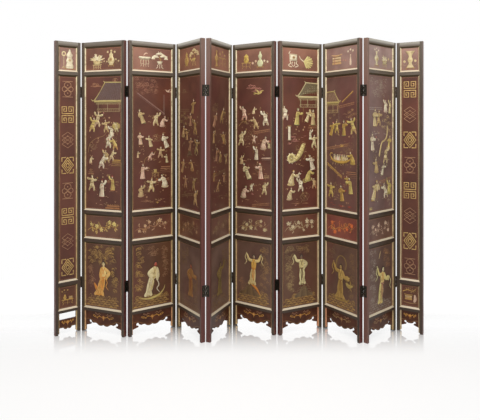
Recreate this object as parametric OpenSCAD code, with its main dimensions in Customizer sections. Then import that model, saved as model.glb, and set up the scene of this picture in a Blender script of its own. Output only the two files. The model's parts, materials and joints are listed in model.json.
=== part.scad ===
// A free-standing lacquer screen of ten hinged leaves, set up in a zigzag.
// Two narrow end leaves flank eight main leaves. Every leaf is a frame of stiles and
// tenoned rails that holds lacquered boards between bevelled mouldings, over a carved apron.
// The origin is at the floor under the middle of the whole screen, the front faces -Y.

/* [Screen] */
// Height from the floor to the top of the frame
screen_h = 2100; // [1900:10:2400]
// Width of a main leaf from edge to edge
leaf_w = 365; // [335:5:420]
// Width of each of the two end leaves from edge to edge
end_leaf_w = 185; // [170:5:220]
// Thickness of every leaf
leaf_t = 32; // [28:1:40]
// Gap between the edges of two neighbouring leaves when the screen lies flat
leaf_gap = 5.5; // [5.5:0.5:12]

/* [Folds] */
// Heading of the first leaf, turned up from the length of the screen
first_heading = 38.5; // [20:0.5:60]
// Bend between leaves 1 and 2, where 0 is flat
fold_angle_1 = 60; // [40:0.5:90]
// Bend between leaves 2 and 3
fold_angle_2 = 55; // [40:0.5:90]
// Bend between leaves 3 and 4
fold_angle_3 = 89; // [60:0.5:110]
// Bend between leaves 4 and 5
fold_angle_4 = 122; // [80:0.5:130]
// Bend between leaves 5 and 6
fold_angle_5 = 101.5; // [70:0.5:120]
// Bend between leaves 6 and 7
fold_angle_6 = 62; // [40:0.5:90]
// Bend between leaves 7 and 8
fold_angle_7 = 82.5; // [60:0.5:110]
// Bend between leaves 8 and 9
fold_angle_8 = 98.5; // [70:0.5:120]
// Bend between leaves 9 and 10
fold_angle_9 = 73.5; // [50:0.5:100]

/* [Frame] */
// Width of a stile's flat face, which the mouldings then widen
stile_w = 20.5; // [18:0.5:30]
// Height of the top rail's flat face
top_rail_h = 31; // [20:1:45]
// Height of the flat face of the rails between two boards
mid_rail_h = 24; // [18:1:36]
// Height of the bottom rail's flat face
bottom_rail_h = 20; // [16:1:36]
// Height of the bottom rail's underside above the floor
bottom_rail_z = 153; // [145:1:200]
// Bevel along the outer corners of a stile
stile_bevel = 1.2; // [0.4:0.1:3]

/* [Joinery] */
// Length of the tenon at each end of a rail
tenon_l = 11; // [6:0.5:14]
// Thickness of a tenon
tenon_t = 10; // [6:0.5:14]
// Shoulder above and below a tenon
tenon_shoulder = 4; // [2:0.5:6]
// Clearance round a tenon in its mortise
tenon_clear = 0.2; // [0.05:0.05:0.5]

/* [Boards] */
// Thickness of the lacquered boards
board_t = 10; // [8:0.5:14]
// Clearance between a board's edges and the frame
board_clear = 0.3; // [0.1:0.05:0.6]
// Height of the top opening of every leaf
top_opening_h = 184; // [140:2:240]
// Height of the flower belt's opening on a main leaf
belt_opening_h = 180; // [140:2:240]
// Height of the lower opening on a main leaf
lower_opening_h = 480; // [400:2:560]
// Height of the lower opening on an end leaf
end_lower_opening_h = 176; // [140:2:260]

/* [Mouldings] */
// Width of a moulding's bevelled face
moulding_w = 11; // [6:0.5:14]
// Upright edge left where a moulding meets the board
moulding_lip = 1.5; // [0.5:0.25:3]
// Height above the floor where the strips beside the feet end
strip_foot_z = 8; // [4:1:20]

/* [Apron] */
// Height above the floor of the level part of an apron's scalloped edge
scallop_z = 63; // [55:1:75]
// Height above the floor of the brackets beside the feet
bracket_z = 42; // [32:1:50]
// Height above the floor of the twin lobes at the middle
lobe_z = 50; // [42:1:58]
// Radius of the twin lobes
lobe_r = 40; // [32:1:48]
// Distance of each lobe's middle from the middle of the apron
lobe_x = 25; // [18:1:30]
// Distance from the moulding's sight edge to the middle of the hook-shaped hole
hook_x = 38; // [32:0.5:44]
// Height of the hole's middle above the level part of the edge
hook_rise = 10; // [8:0.5:13]
// Radius of the round head of the hook-shaped hole
hook_r = 11; // [9:0.5:13]
// Height of the throat's upper edge above the hole's middle, square to its slope
throat_rise = 3; // [1:0.5:5]
// Slope of the throat
throat_slope = 25; // [18:1:35]
// Radius of the curl at a bracket's tip
curl_r = 6; // [4.5:0.5:8]
// How much higher the bracket's edge lies at its curl than beside the foot
bracket_rise = 10; // [5:0.5:14]
// Height of the shallow arch between the hook and the lobes
arch_h = 3.5; // [2:0.25:6]
// Radius of that arch
arch_r = 41.5; // [34:0.5:50]
// Distance from the moulding's sight edge to the middle of the arch
arch_x = 81.5; // [76:0.5:88]
// Share of the hook's size that an end leaf's narrow apron takes
end_hook_share = 0.75; // [0.6:0.05:0.85]
// Open slot between the first leaf's bottom rail and its lowered apron
first_slot_h = 50; // [40:1:60]
// Height above the floor of the first leaf's plain apron edge
first_edge_z = 45; // [38:1:50]
// Height above the floor of the lobes on the first leaf's apron
first_lobe_z = 31; // [24:1:36]
// Radius of the lobes on the first leaf's apron
first_lobe_r = 17; // [12:1:22]
// Distance of those lobes' middles from the middle of the apron
first_lobe_x = 13.5; // [8:0.5:18]

/* [Hinges] */
// Height of a hinge
hinge_h = 78; // [60:1:100]
// Height above the floor of the lower hinges' middle
lower_hinge_z = 354; // [280:1:450]
// Distance of the upper hinges' middle below the top of the frame
upper_hinge_drop = 361; // [280:1:450]
// Number of knuckles in a hinge
knuckles = 5; // [3:2:7]
// Clearance between a knuckle and the edge of the leaf beside it
knuckle_clear = 0.4; // [0.3:0.1:0.6]
// Radius of a hinge pin
pin_r = 1.3; // [1:0.1:1.5]
// Radial clearance of a pin in its knuckles
pin_clear = 0.05; // [0.02:0.01:0.08]
// Distance of a hinge pin in front of the face of the leaf
pin_proud = 1.2; // [1:0.1:2.5]
// How far the button at each end of a pin stays inside the knuckle's edge
button_inset = 0.4; // [0.2:0.1:0.7]
// Height of the button at each end of a pin
button_h = 1.5; // [1:0.25:4]
// Thickness of a hinge plate
plate_t = 2; // [1.2:0.1:2.2]
// Distance of a hinge plate from the far face of the leaf
plate_margin = 5.5; // [3:0.5:10]
// Play between two knuckles along the pin, and round a knuckle beside a plate
knuckle_play = 0.4; // [0.2:0.05:0.6]
// How far a hinge plate stops behind the pin's middle, so that two folded plates stay apart
closing_play = 0.2; // [0.05:0.05:0.5]

/* [Hidden] */
$fn = 64;
leaf_count = 10;
folds = [fold_angle_1, fold_angle_2, fold_angle_3, fold_angle_4, fold_angle_5,
         fold_angle_6, fold_angle_7, fold_angle_8, fold_angle_9];
PARTS = ["stiles", "rails", "boards", "mouldings", "apron", "hinges"];
frame_color = [0.16, 0.13, 0.12];
board_color = [0.34, 0.18, 0.15];
gilt_color = [0.82, 0.66, 0.40];
iron_color = [0.09, 0.08, 0.08];
cut = 1;                                    // how far a cutting shape runs past what it cuts
moulding_d = (leaf_t - board_t) / 2;        // from the face of the leaf to its board
bottom_opening_z = bottom_rail_z + bottom_rail_h;
upper_rail_z = screen_h - top_rail_h - top_opening_h - mid_rail_h;
top_rail_z = screen_h - top_rail_h;
knuckle_h = hinge_h / knuckles;
knuckle_r = leaf_gap / 2 - knuckle_clear;
plate_d = leaf_t + pin_proud - plate_margin;

function leaf_name(i, part) = str("leaf_", i < 10 ? "0" : "", i, "_", part);

function is_end(i) = i == 1 || i == leaf_count;
function half_w(i) = (is_end(i) ? end_leaf_w : leaf_w) / 2;
function inner_w(i) = 2 * (half_w(i) - stile_w);

// The height of each rail's underside and of the rail itself, from the bottom to the top.
function lowest_mid_rail_z(i) = bottom_opening_z
    + (is_end(i) ? end_lower_opening_h : lower_opening_h);
function rails_of(i) = concat(
    [[bottom_rail_z, bottom_rail_h], [lowest_mid_rail_z(i), mid_rail_h]],
    is_end(i) ? [] : [[lowest_mid_rail_z(i) + mid_rail_h + belt_opening_h, mid_rail_h]],
    [[upper_rail_z, mid_rail_h], [top_rail_z, top_rail_h]]);
// The lower and upper end of each opening between two rails.
function openings_of(i) = let (r = rails_of(i))
    [for (k = [0 : len(r) - 2]) [r[k][0] + r[k][1], r[k + 1][0]]];

// Plan of the zigzag. Fold j joins leaf j to leaf j + 1: odd folds point away from the front
// and have their pins in front, even folds point forward and have their pins behind.
function pin_side(j) = j % 2 == 1 ? -1 : 1;
function turned(p, a) = [p[0] * cos(a) - p[1] * sin(a), p[0] * sin(a) + p[1] * cos(a)];
function heading(i) = i == 1 ? first_heading : heading(i - 1) + pin_side(i - 1) * folds[i - 2];
function pin_of(i, end, j) = [end * (half_w(i) + leaf_gap / 2), pin_side(j) * (leaf_t / 2 + pin_proud)];
function chain_place(i) = i == 1 ? [0, 0]
    : chain_place(i - 1) + turned(pin_of(i - 1, 1, i - 1), heading(i - 1))
        - turned(pin_of(i, -1, i - 1), heading(i));
corners = [for (i = [1 : leaf_count], u = [-1, 1], v = [-1, 1], b = [0, stile_bevel])
    chain_place(i) + turned([u * (half_w(i) - b), v * (leaf_t / 2 + b - stile_bevel)], heading(i))];
corner_xs = [for (c = corners) c[0]];
corner_ys = [for (c = corners) c[1]];
chain_middle = [(min(corner_xs) + max(corner_xs)) / 2, (min(corner_ys) + max(corner_ys)) / 2];
function leaf_place(i) = chain_place(i) - chain_middle;

// The uprights, with a mortise for each rail and a fine bevel on their outer corners.
module stile(i) {
    b = stile_bevel;
    difference() {
        linear_extrude(screen_h)
            polygon([[0, b - leaf_t / 2], [b, -leaf_t / 2], [stile_w, -leaf_t / 2],
                     [stile_w, leaf_t / 2], [b, leaf_t / 2], [0, leaf_t / 2 - b]]);
        for (r = rails_of(i))
            translate([stile_w - tenon_l - tenon_clear, -tenon_t / 2 - tenon_clear,
                       r[0] + tenon_shoulder - tenon_clear])
                cube([tenon_l + tenon_clear + cut, tenon_t + 2 * tenon_clear,
                      r[1] - 2 * tenon_shoulder + 2 * tenon_clear]);
    }
}

module stiles(i) color(frame_color)
    for (m = [0, 1])
        mirror([m, 0, 0]) translate([-half_w(i), 0, 0]) stile(i);

// The rails, each with a tenon at both ends.
module rails(i) color(frame_color)
    for (r = rails_of(i)) {
        translate([-inner_w(i) / 2, -leaf_t / 2, r[0]]) cube([inner_w(i), leaf_t, r[1]]);
        translate([-inner_w(i) / 2 - tenon_l, -tenon_t / 2, r[0] + tenon_shoulder])
            cube([inner_w(i) + 2 * tenon_l, tenon_t, r[1] - 2 * tenon_shoulder]);
    }

// The lacquered boards, one in each opening.
module boards(i) color(board_color)
    for (o = openings_of(i))
        translate([-inner_w(i) / 2 + board_clear, -board_t / 2, o[0] + board_clear])
            cube([inner_w(i) - 2 * board_clear, board_t, o[1] - o[0] - 2 * board_clear]);

// Outline of the hollow that a frame of mouldings leaves, wide at the face of the leaf.
module bevelled_hollow(w)
    polygon([[-w / 2, -cut], [-w / 2, 0], [moulding_w - w / 2, moulding_d - moulding_lip],
             [moulding_w - w / 2, moulding_d + cut], [w / 2 - moulding_w, moulding_d + cut],
             [w / 2 - moulding_w, moulding_d - moulding_lip], [w / 2, 0], [w / 2, -cut]]);

// A mitred frame of mouldings for an opening, its face at y = 0 and its back on the board.
module moulding_frame(w, h)
    difference() {
        translate([-w / 2, 0, 0]) cube([w, moulding_d, h]);
        intersection() {
            translate([0, 0, -cut]) linear_extrude(h + 2 * cut) bevelled_hollow(w);
            translate([-w / 2 - cut, 0, h / 2]) rotate([0, 90, 0])
                linear_extrude(w + 2 * cut) bevelled_hollow(h);
        }
    }

// A strip of the same moulding that runs down a stile beside the apron.
module moulding_strip(w)
    linear_extrude(bottom_rail_z - strip_foot_z)
        difference() {
            translate([-w / 2, 0]) square([moulding_w, moulding_d]);
            bevelled_hollow(w);
        }

module mouldings(i) color(gilt_color)
    for (m = [0, 1])
        mirror([0, m, 0]) translate([0, -leaf_t / 2, 0]) {
            for (o = openings_of(i))
                translate([0, 0, o[0]]) moulding_frame(inner_w(i), o[1] - o[0]);
            for (n = [0, 1])
                mirror([n, 0, 0]) translate([0, 0, strip_foot_z]) moulding_strip(inner_w(i));
        }

// One half of a scalloped apron, from the stile at x = -w / 2 to the middle at x = 0.
// sight_x is where the moulding's sight edge lies, s the share of the hook's full size.
module apron_half(w, top_z, s, with_lobe) {
    sight_x = moulding_w - w / 2;
    hook = [sight_x + s * hook_x, scallop_z + s * hook_rise];
    curl_z = bracket_z + bracket_rise;
    difference() {
        translate([-w / 2, scallop_z]) square([w / 2, top_z - scallop_z]);
        translate(hook) circle(s * hook_r);
        translate(hook) rotate(-throat_slope)
            translate([0, -s * hook_r]) square(s * [hook_x, hook_r + throat_rise]);
        if (with_lobe)
            translate([sight_x + arch_x, scallop_z + arch_h - arch_r]) circle(arch_r);
    }
    difference() {
        union() {
            polygon([[-w / 2, bracket_z], [sight_x, bracket_z], [hook[0], curl_z],
                     hook, [-w / 2, hook[1]]]);
            translate([hook[0], curl_z + curl_r]) circle(curl_r);
        }
        translate(hook) circle(s * hook_r);
    }
    if (with_lobe)
        intersection() {
            translate([-lobe_x, lobe_z + lobe_r]) circle(lobe_r);
            translate([-w / 2, 0]) square([w / 2, top_z]);
        }
}

module scalloped_outline(w, top_z, s, with_lobe)
    for (m = [0, 1]) mirror([m, 0]) apron_half(w, top_z, s, with_lobe);

// The first leaf's apron is lower and plainer, with two small lobes at its middle.
module plain_outline(w, top_z) {
    translate([-w / 2, first_edge_z]) square([w, top_z - first_edge_z]);
    for (u = [-1, 1])
        translate([u * first_lobe_x, first_lobe_z + first_lobe_r]) circle(first_lobe_r);
}

module apron(i) color(board_color)
    translate([0, board_t / 2, 0]) rotate([90, 0, 0]) linear_extrude(board_t)
        if (i == 1)
            plain_outline(inner_w(i) - 2 * board_clear, bottom_rail_z - first_slot_h);
        else
            scalloped_outline(inner_w(i) - 2 * board_clear, bottom_rail_z,
                              is_end(i) ? end_hook_share : 1, !is_end(i));

// Half of a butt hinge, round a pin on the z axis, on a leaf whose edge lies at x = -leaf_gap / 2
// and whose face lies at y = -pin_proud. The first half has the outer knuckles.
module hinge_half(first)
    difference() {
        union() {
            difference() {
                translate([-leaf_gap / 2, -plate_d, 0])
                    cube([plate_t, plate_d - closing_play, hinge_h]);
                for (k = [0 : knuckles - 1])
                    if ((k % 2 == 0) != first)
                        translate([-leaf_gap / 2 - cut, -knuckle_r - knuckle_play, k * knuckle_h])
                            cube([leaf_gap, leaf_gap, knuckle_h]);
            }
            for (k = [0 : knuckles - 1])
                if ((k % 2 == 0) == first)
                    translate([0, 0, k * knuckle_h + knuckle_play / 2]) {
                        cylinder(h = knuckle_h - knuckle_play, r = knuckle_r);
                        translate([-leaf_gap / 2, -knuckle_r, 0])
                            cube([leaf_gap / 2, knuckle_r - closing_play, knuckle_h - knuckle_play]);
                    }
        }
        translate([0, 0, -cut]) cylinder(h = hinge_h + 2 * cut, r = pin_r + pin_clear);
    }

module hinge_pin() {
    cylinder(h = hinge_h, r = pin_r);
    for (z = [-button_h, hinge_h]) translate([0, 0, z])
        cylinder(h = button_h, r = knuckle_r - button_inset);
}

// Places its children round the pins of fold j, as seen from the leaf on the given end of it.
module at_pins(i, end, j) {
    pin = pin_of(i, end, j);
    for (z = [lower_hinge_z, screen_h - upper_hinge_drop])
        translate([pin[0], pin[1], z - hinge_h / 2])
            scale([end, pin_side(j), 1]) children();
}

module hinges(i) color(iron_color) {
    if (i < leaf_count) at_pins(i, 1, i) {
        hinge_half(true);
        hinge_pin();
    }
    if (i > 1) at_pins(i, -1, i - 1) hinge_half(false);
}

for (i = [1 : leaf_count])
    translate([leaf_place(i)[0], leaf_place(i)[1], 0]) rotate(heading(i)) {
        stiles(i);
        rails(i);
        boards(i);
        mouldings(i);
        apron(i);
        hinges(i);
    }
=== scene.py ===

"""Looks of a ten-leaf lacquer screen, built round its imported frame.

Every leaf gets its lacquers and its gilding, the inlaid figures, gardens and vessels of its boards,
the gilt scrolls of its apron and the screws of its hinges. Each group of like pieces is an operator
of the Lacquer screen panel, and the sizes and colours that a user would change stand in that panel.
"""

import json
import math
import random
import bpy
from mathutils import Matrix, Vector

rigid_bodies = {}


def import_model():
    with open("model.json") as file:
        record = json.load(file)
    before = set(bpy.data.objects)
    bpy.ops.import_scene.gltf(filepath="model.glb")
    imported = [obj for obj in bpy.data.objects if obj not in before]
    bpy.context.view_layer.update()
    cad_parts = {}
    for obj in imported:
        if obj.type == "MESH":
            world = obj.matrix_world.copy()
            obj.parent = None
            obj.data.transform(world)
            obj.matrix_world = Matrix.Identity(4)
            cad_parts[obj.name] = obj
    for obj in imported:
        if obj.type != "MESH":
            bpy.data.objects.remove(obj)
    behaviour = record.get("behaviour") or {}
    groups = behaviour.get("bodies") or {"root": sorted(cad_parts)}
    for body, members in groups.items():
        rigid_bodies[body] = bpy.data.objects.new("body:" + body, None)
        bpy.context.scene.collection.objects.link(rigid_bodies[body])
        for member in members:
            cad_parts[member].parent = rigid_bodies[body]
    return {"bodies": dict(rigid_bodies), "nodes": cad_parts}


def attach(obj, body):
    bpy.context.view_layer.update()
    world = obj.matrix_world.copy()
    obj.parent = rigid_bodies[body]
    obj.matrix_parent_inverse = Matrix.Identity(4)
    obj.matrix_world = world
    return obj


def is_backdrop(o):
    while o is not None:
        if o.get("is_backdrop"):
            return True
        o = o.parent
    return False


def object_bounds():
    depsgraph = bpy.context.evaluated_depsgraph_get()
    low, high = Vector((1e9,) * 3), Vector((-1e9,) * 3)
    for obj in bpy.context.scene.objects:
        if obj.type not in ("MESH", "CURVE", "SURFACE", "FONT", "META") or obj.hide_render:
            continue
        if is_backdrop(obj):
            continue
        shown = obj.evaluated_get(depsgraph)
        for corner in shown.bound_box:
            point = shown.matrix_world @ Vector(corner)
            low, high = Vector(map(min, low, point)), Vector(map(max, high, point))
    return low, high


bl_info = {"name": "Lacquer screen", "version": (1, 0, 0), "blender": (4, 5, 0),
    "location": "3D View > Sidebar > Lacquer screen",
    "description": "Dresses a ten-leaf folding screen in lacquer, gilding and inlay",
    "category": "Object"}

import bpy
import numpy as np
from bpy.props import FloatProperty, FloatVectorProperty, IntProperty, PointerProperty
from mathutils import Matrix, Quaternion, Vector

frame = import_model()

LEAF_COUNT = len(frame["bodies"])
PLAIN_LEAF = 1              # the first leaf, whose apron hangs lower under an open slot
MILLIMETRE = 0.001
SIGHT_MARGIN = 11           # how far a moulding covers the board's opening, in millimetres
SUNK = 0.15                 # how far a relief piece is let into its board
PLATE_THICKNESS = 0.002     # of a hinge plate on the edge of its leaf, in metres
GARDEN_RELIEF = 0.3         # height of a painted stroke for half its width


# Colours and small helpers

def tone(code):
    """A screen colour in six hex digits, as the linear colour that a shader takes."""
    linear = []
    for start in (0, 2, 4):
        share = int(code[start:start + 2], 16) / 255
        linear.append(share / 12.92 if share <= 0.04045 else ((share + 0.055) / 1.055) ** 2.4)
    return (*linear, 1)


def table(text):
    """The rows of a table, parted by semicolons: words, numbers, and hex colours after a #."""
    def read(word):
        if word[0] == "#":
            return tone(word[1:])
        return word if word[0].isalpha() else json.loads(word)
    return [[read(word) for word in row.split()] for row in text.split(";")]


def keyed(text):
    """The rows of a table by their first word."""
    return {key: row for key, *row in table(text)}


IVORY = tone("f0e4c4")
CREAM = tone("e2ce9c")
BUFF = tone("ceb27e")
STRAW = tone("d4be70")
GOLD = tone("d6aa54")
OLD_GOLD = tone("a8824c")
FAINT_GOLD = tone("b07e58")
DIM_GOLD = tone("7c5e3e")
PINK = tone("e6c4a8")
ROSE = tone("bc8070")
ORANGE = tone("de8e3a")
CORAL = tone("ba4230")
JADE = tone("969662")
SILVER = tone("aca094")
HAIR = tone("3a2c26")
SKIN = tone("ecd8b4")
TILE = tone("685a3e")
ROBES = (CREAM, IVORY, BUFF, CREAM, STRAW, PINK, GOLD, BUFF)
TRIMS = (OLD_GOLD, GOLD, ROSE, JADE, OLD_GOLD, CORAL)


def mixed(first, second, share):
    """The colour that lies a share of the way from the first colour to the second."""
    return tuple(a + (b - a) * share for a, b in zip(first, second))


# The leaves, as the frame has them

class Leaf:
    """One leaf of the screen: its turn, its place and its boards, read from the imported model."""

    def __init__(self, number):
        self.number = number
        self.name = f"leaf_{number:02d}"
        points = self.corners("boards")
        flat = points[:, :2] - points[:, :2].mean(axis=0)
        along = np.linalg.svd(flat, full_matrices=False)[2][0]
        self.along = along if along[0] > 0 else -along
        self.front = np.array((self.along[1], -self.along[0]))
        self.heading = math.atan2(self.along[1], self.along[0])
        self.centre = self.middle(points)
        self.half_board, self.half_inner = self.halves(points)
        levels = sorted(set(np.round(points[:, 2] * 1000, 1)))
        self.boards = [(low, high) for low, high in zip(levels[::2], levels[1::2])]
        self.half_depth, self.half_width = self.halves(self.corners("stiles"))
        self.sight = 1000 * self.half_inner - SIGHT_MARGIN
        self.is_end = number in (1, LEAF_COUNT)

    def corners(self, part):
        """The distinct corners of one of the leaf's nodes, in metres."""
        mesh = frame["nodes"][f"{self.name}_{part}"].data
        points = np.zeros(len(mesh.vertices) * 3)
        mesh.vertices.foreach_get("co", points)
        return np.unique(np.round(points.reshape(-1, 3), 6), axis=0)

    def halves(self, points):
        """Half the points' extent across and along the leaf."""
        return [np.ptp(points[:, :2] @ axis) / 2 for axis in (self.front, self.along)]

    def middle(self, points):
        """The middle of the points in plan, measured along and across the leaf."""
        place = np.zeros(2)
        for axis in (self.along, self.front):
            reach = points[:, :2] @ axis
            place += axis * (reach.min() + reach.max()) / 2
        return place

    def opening(self, name):
        """The lower and upper edge of a board, in millimetres: low, belt, main or top."""
        order = ("low", "main", "top") if self.is_end else ("low", "belt", "main", "top")
        low, high = self.boards[order.index(name)]
        return low + SIGHT_MARGIN, high - SIGHT_MARGIN

    def face(self, depth, side=1):
        """Matrix from a drawing in millimetres to a plane in front of the leaf's middle plane."""
        normal = side * self.front
        along = side * self.along
        place = self.centre + normal * depth * MILLIMETRE
        turn = Matrix(((along[0], 0, normal[0], place[0]), (along[1], 0, normal[1], place[1]),
            (0, 1, 0, 0), (0, 0, 0, 1),))
        return turn @ Matrix.Diagonal((MILLIMETRE, MILLIMETRE, MILLIMETRE, 1))

    def plates(self):
        """Middle, outward way and half size (across, up) of each hinge plate's inner face."""
        points = self.corners("hinges")
        flat, heights = points[:, :2] - self.centre, points[:, 2]
        spots = np.stack((flat @ self.front, heights), axis=1)
        reach = self.half_width + PLATE_THICKNESS
        found = []
        for side in (-1, 1):
            on_face = np.abs(side * (flat @ self.along) - reach) < 5e-5
            for band in (heights < heights.mean(), heights > heights.mean()):
                face = spots[on_face & band]
                if len(face):
                    across, up = (face.min(axis=0) + face.max(axis=0)) / 2
                    plan = self.centre + self.along * side * reach + self.front * across
                    found.append((Vector((*plan, up)), Vector((*(side * self.along), 0)),
                        np.ptp(face, axis=0) / 2))
        return found

    def board_face(self, side=1):
        """Matrix from a drawing in millimetres to the face of the leaf's boards."""
        return self.face(1000 * self.half_board - SUNK, side)


LEAVES = [Leaf(number) for number in range(1, LEAF_COUNT + 1)]
MAIN_LEAVES = [leaf for leaf in LEAVES if not leaf.is_end]
END_LEAVES = [leaf for leaf in LEAVES if leaf.is_end]


# Sizes and colours that a user may change

def length(name, description, default, low, high):
    return FloatProperty(name=name, description=description, default=default, min=low, max=high,
        unit="LENGTH", subtype="DISTANCE")


def share(name, description, default, low=0, high=1):
    return FloatProperty(name=name, description=description, default=default, min=low, max=high,
        subtype="FACTOR")


def colour(name, description, default):
    return FloatVectorProperty(name=name, description=description, default=default[:3], size=3, min=0,
        max=1, subtype="COLOR")


def number(name, description, default, low, high, unit="NONE"):
    return FloatProperty(name=name, description=description, default=default, min=low, max=high,
        unit=unit)


class ScreenRelief(bpy.types.PropertyGroup):
    """Sizes of the inlay and gilding on the boards."""

    figure_height: length("Figure height", "Height of a figure on a tall board", 0.096, 0.05, 0.12)
    tall_height: length("Tall figure height", "Height of the single figure on a lower board", 0.22, 0.15,
        0.26)
    medallion_height: length("Medallion height", "Height of a medallion on an end leaf", 0.114, 0.08,
        0.14)
    medallion_width: length("Medallion width", "Width of a medallion on an end leaf", 0.084, 0.05, 0.11)
    line_radius: length("Line radius", "Half the width of a gilt line", 0.0010, 0.0004, 0.002)
    figure_relief: share("Figure relief", "Height of a small inlay for half its width", 0.3)
    tall_relief: share("Tall figure relief", "Height of a large inlay for half its width", 0.17)
    vessel_relief: share("Vessel relief", "Height of a top board's inlay for half its width", 0.18)
    line_relief: share("Line relief", "Height of a gilt line for half its width", 0.45)
    smooth_steps: IntProperty(name="Smooth steps", description="Steps between two points of a curve",
        default=3, min=1, max=8)
    screw_radius: length("Screw radius", "Radius of a screw head of the hinges", 0.0028, 0.0015, 0.0035)
    seed: IntProperty(name="Seed", description="Seed of the arrangement of the figures", default=7, min=0,
        max=999)


class ScreenFinish(bpy.types.PropertyGroup):
    """Ground colours of the screen's lacquers and metals."""

    frame: colour("Frame", "Lacquer of the stiles and rails", tone("403026"))
    edge: colour("Leaf edge", "Lacquer of the leaves' edges", tone("622e2a"))
    low_board: colour("Lower boards", "Lacquer of the boards above the aprons", tone("6e4a34"))
    belt_board: colour("Belt boards", "Lacquer of the flower belt", tone("7a4e36"))
    main_board: colour("Tall boards", "Lacquer of the tall boards", tone("6a3e2e"))
    # The top boards' default is lighter partly for their paler ground and partly as painted light from
    # above
    top_board: colour("Top boards", "Lacquer of the top boards", tone("9e6c56"))
    apron: colour("Aprons", "Lacquer of the carved aprons", tone("58301a"))
    gilt: colour("Gilding", "Gilding of the mouldings", tone("ccaa74"))
    # The colour of the painted highlight that pales the gilding toward the top
    top_lit_gilt: colour("Rubbed gilding", "Gilding of the mouldings near the top", tone("e2d4ae"))
    iron: colour("Iron", "Iron of the hinges", tone("282620"))


class ScreenStage(bpy.types.PropertyGroup):
    """The camera and the light."""

    camera_x: length("Camera side", "Place of the camera to the right of the middle", 0.00315, -1, 1)
    camera_distance: length("Camera distance", "Distance of the camera before the middle", 3.8508, 2, 9)
    camera_height: length("Camera height", "Height of the camera above the floor", 1.4986, 0.5, 2.5)
    lens: number("Lens", "Focal length of the camera in millimetres", 40.06, 20, 120)
    shift: number("Shift", "Upright shift that frames the screen", -0.1767, -0.5, 0.5)
    key_power: number("Key light", "Power of the light above the front", 78, 0, 500, "POWER")
    fill_power: number("Fill light", "Power of the light from the camera", 22, 0, 500, "POWER")
    room_level: share("Room level", "Strength of the light from all round", 0.3)


# Shader steps

def step(tree, kind, inputs=None, **settings):
    """Adds a node to a tree; an input is linked to a socket or a node that it is given, or set."""
    made = tree.nodes.new(kind)
    for name, value in settings.items():
        setattr(made, name, value)
    for name, value in (inputs or {}).items():
        if isinstance(value, bpy.types.Node):
            value = value.outputs[0]
        if isinstance(value, bpy.types.NodeSocket):
            tree.links.new(value, made.inputs[name])
        else:
            made.inputs[name].default_value = value
    return made


def sums(operation, first, second=0, clamp=False):
    return step(first.id_data, "ShaderNodeMath", {0: first, 1: second}, operation=operation,
        use_clamp=clamp).outputs[0]


def times(first, second):
    return sums("MULTIPLY", first, second)


def between(value, low, high, start=0, end=1):
    """A smooth passage from one share to another as the value passes from low to high."""
    return step(value.id_data, "ShaderNodeMapRange", {"Value": value, "From Min": low, "From Max": high,
        "To Min": start, "To Max": end}, interpolation_type="SMOOTHSTEP").outputs[0]


def mix(factor, first, second):
    tree = next(one.id_data for one in (factor, first) if isinstance(one, bpy.types.NodeSocket))
    return step(tree, "ShaderNodeMix", {0: factor, 6: first, 7: second}, data_type="RGBA").outputs[2]


def layer(base, shade, value, low, high, start=0, end=1):
    """Lays a shade over the base, by a share that passes from start to end with the value."""
    return mix(between(value, low, high, start, end), base, shade)


def noise(place, scale, detail=3, roughness=0.5, distortion=0):
    return step(place.id_data, "ShaderNodeTexNoise", {"Vector": place, "Scale": scale, "Detail": detail,
        "Roughness": roughness, "Distortion": distortion}).outputs["Fac"]


def stretched(place, scale):
    return step(place.id_data, "ShaderNodeVectorMath", {0: place, 1: scale},
        operation="MULTIPLY").outputs[0]


def object_place(tree):
    return step(tree, "ShaderNodeTexCoord").outputs["Object"]


def leaf_place(tree, leaf):
    """Place on a leaf: along it, across it and up it, from the foot of its middle."""
    return step(tree, "ShaderNodeMapping", {"Vector": object_place(tree), "Location": (*leaf.centre, 0),
        "Rotation": (0, 0, leaf.heading)}, vector_type="TEXTURE").outputs[0]


def parts_of(vector):
    return step(vector.id_data, "ShaderNodeSeparateXYZ", {0: vector}).outputs


def bumped(height, strength, distance):
    return step(height.id_data, "ShaderNodeBump", {"Height": height, "Strength": strength,
        "Distance": distance}).outputs[0]


def emptied(block):
    """The node tree of a material or a world, without its nodes."""
    block.use_nodes = True
    block.node_tree.nodes.clear()
    return block.node_tree


def start_material(name, roughness, metallic=0, specular=0.5, coat=0, coat_roughness=0.03):
    """A new material with one shader, ready for its colour, roughness and bump."""
    material = bpy.data.materials.new(name)
    tree = emptied(material)
    shader = step(tree, "ShaderNodeBsdfPrincipled", {"Roughness": roughness, "Metallic": metallic,
        "Specular IOR Level": specular, "Coat Weight": coat, "Coat Roughness": coat_roughness})
    step(tree, "ShaderNodeOutputMaterial", {"Surface": shader})
    return material, tree, shader


def feed(shader, base, roughness=None, normal=None):
    for name, source in (("Base Color", base), ("Roughness", roughness), ("Normal", normal)):
        if source:
            base.id_data.links.new(source, shader.inputs[name])


def opaque(shade):
    """A colour of the panel as a shader's colour."""
    return (*shade, 1)


# Finishes

PALE_GREEN = tone("847e6c")
MAROON = tone("6c4038")
ROSEWOOD = tone("865e52")
# Stile faces with painted sheen, pale green and reddish, by leaf and side: the colour laid on and how far
SHEEN_STRIPS = {4: {-1: (PALE_GREEN, 0.4), 1: (MAROON, 0.6)}, 5: {-1: (MAROON, 0.7), 1: (PALE_GREEN, 0.7)},
    7: {-1: (MAROON, 0.25)}, 8: {-1: (PALE_GREEN, 0.2)}, 9: {-1: (ROSEWOOD, 0.7)}}
# How much painted highlight pales the top of each leaf's frame, where the light from above falls on it
TOP_HIGHLIGHT = {1: 0.3, 2: 0.15, 3: 0.35, 4: 0.85, 5: 0.85, 6: 0.3, 7: 0.4, 8: 0.65, 9: 0.75, 10: 0.45}


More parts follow.
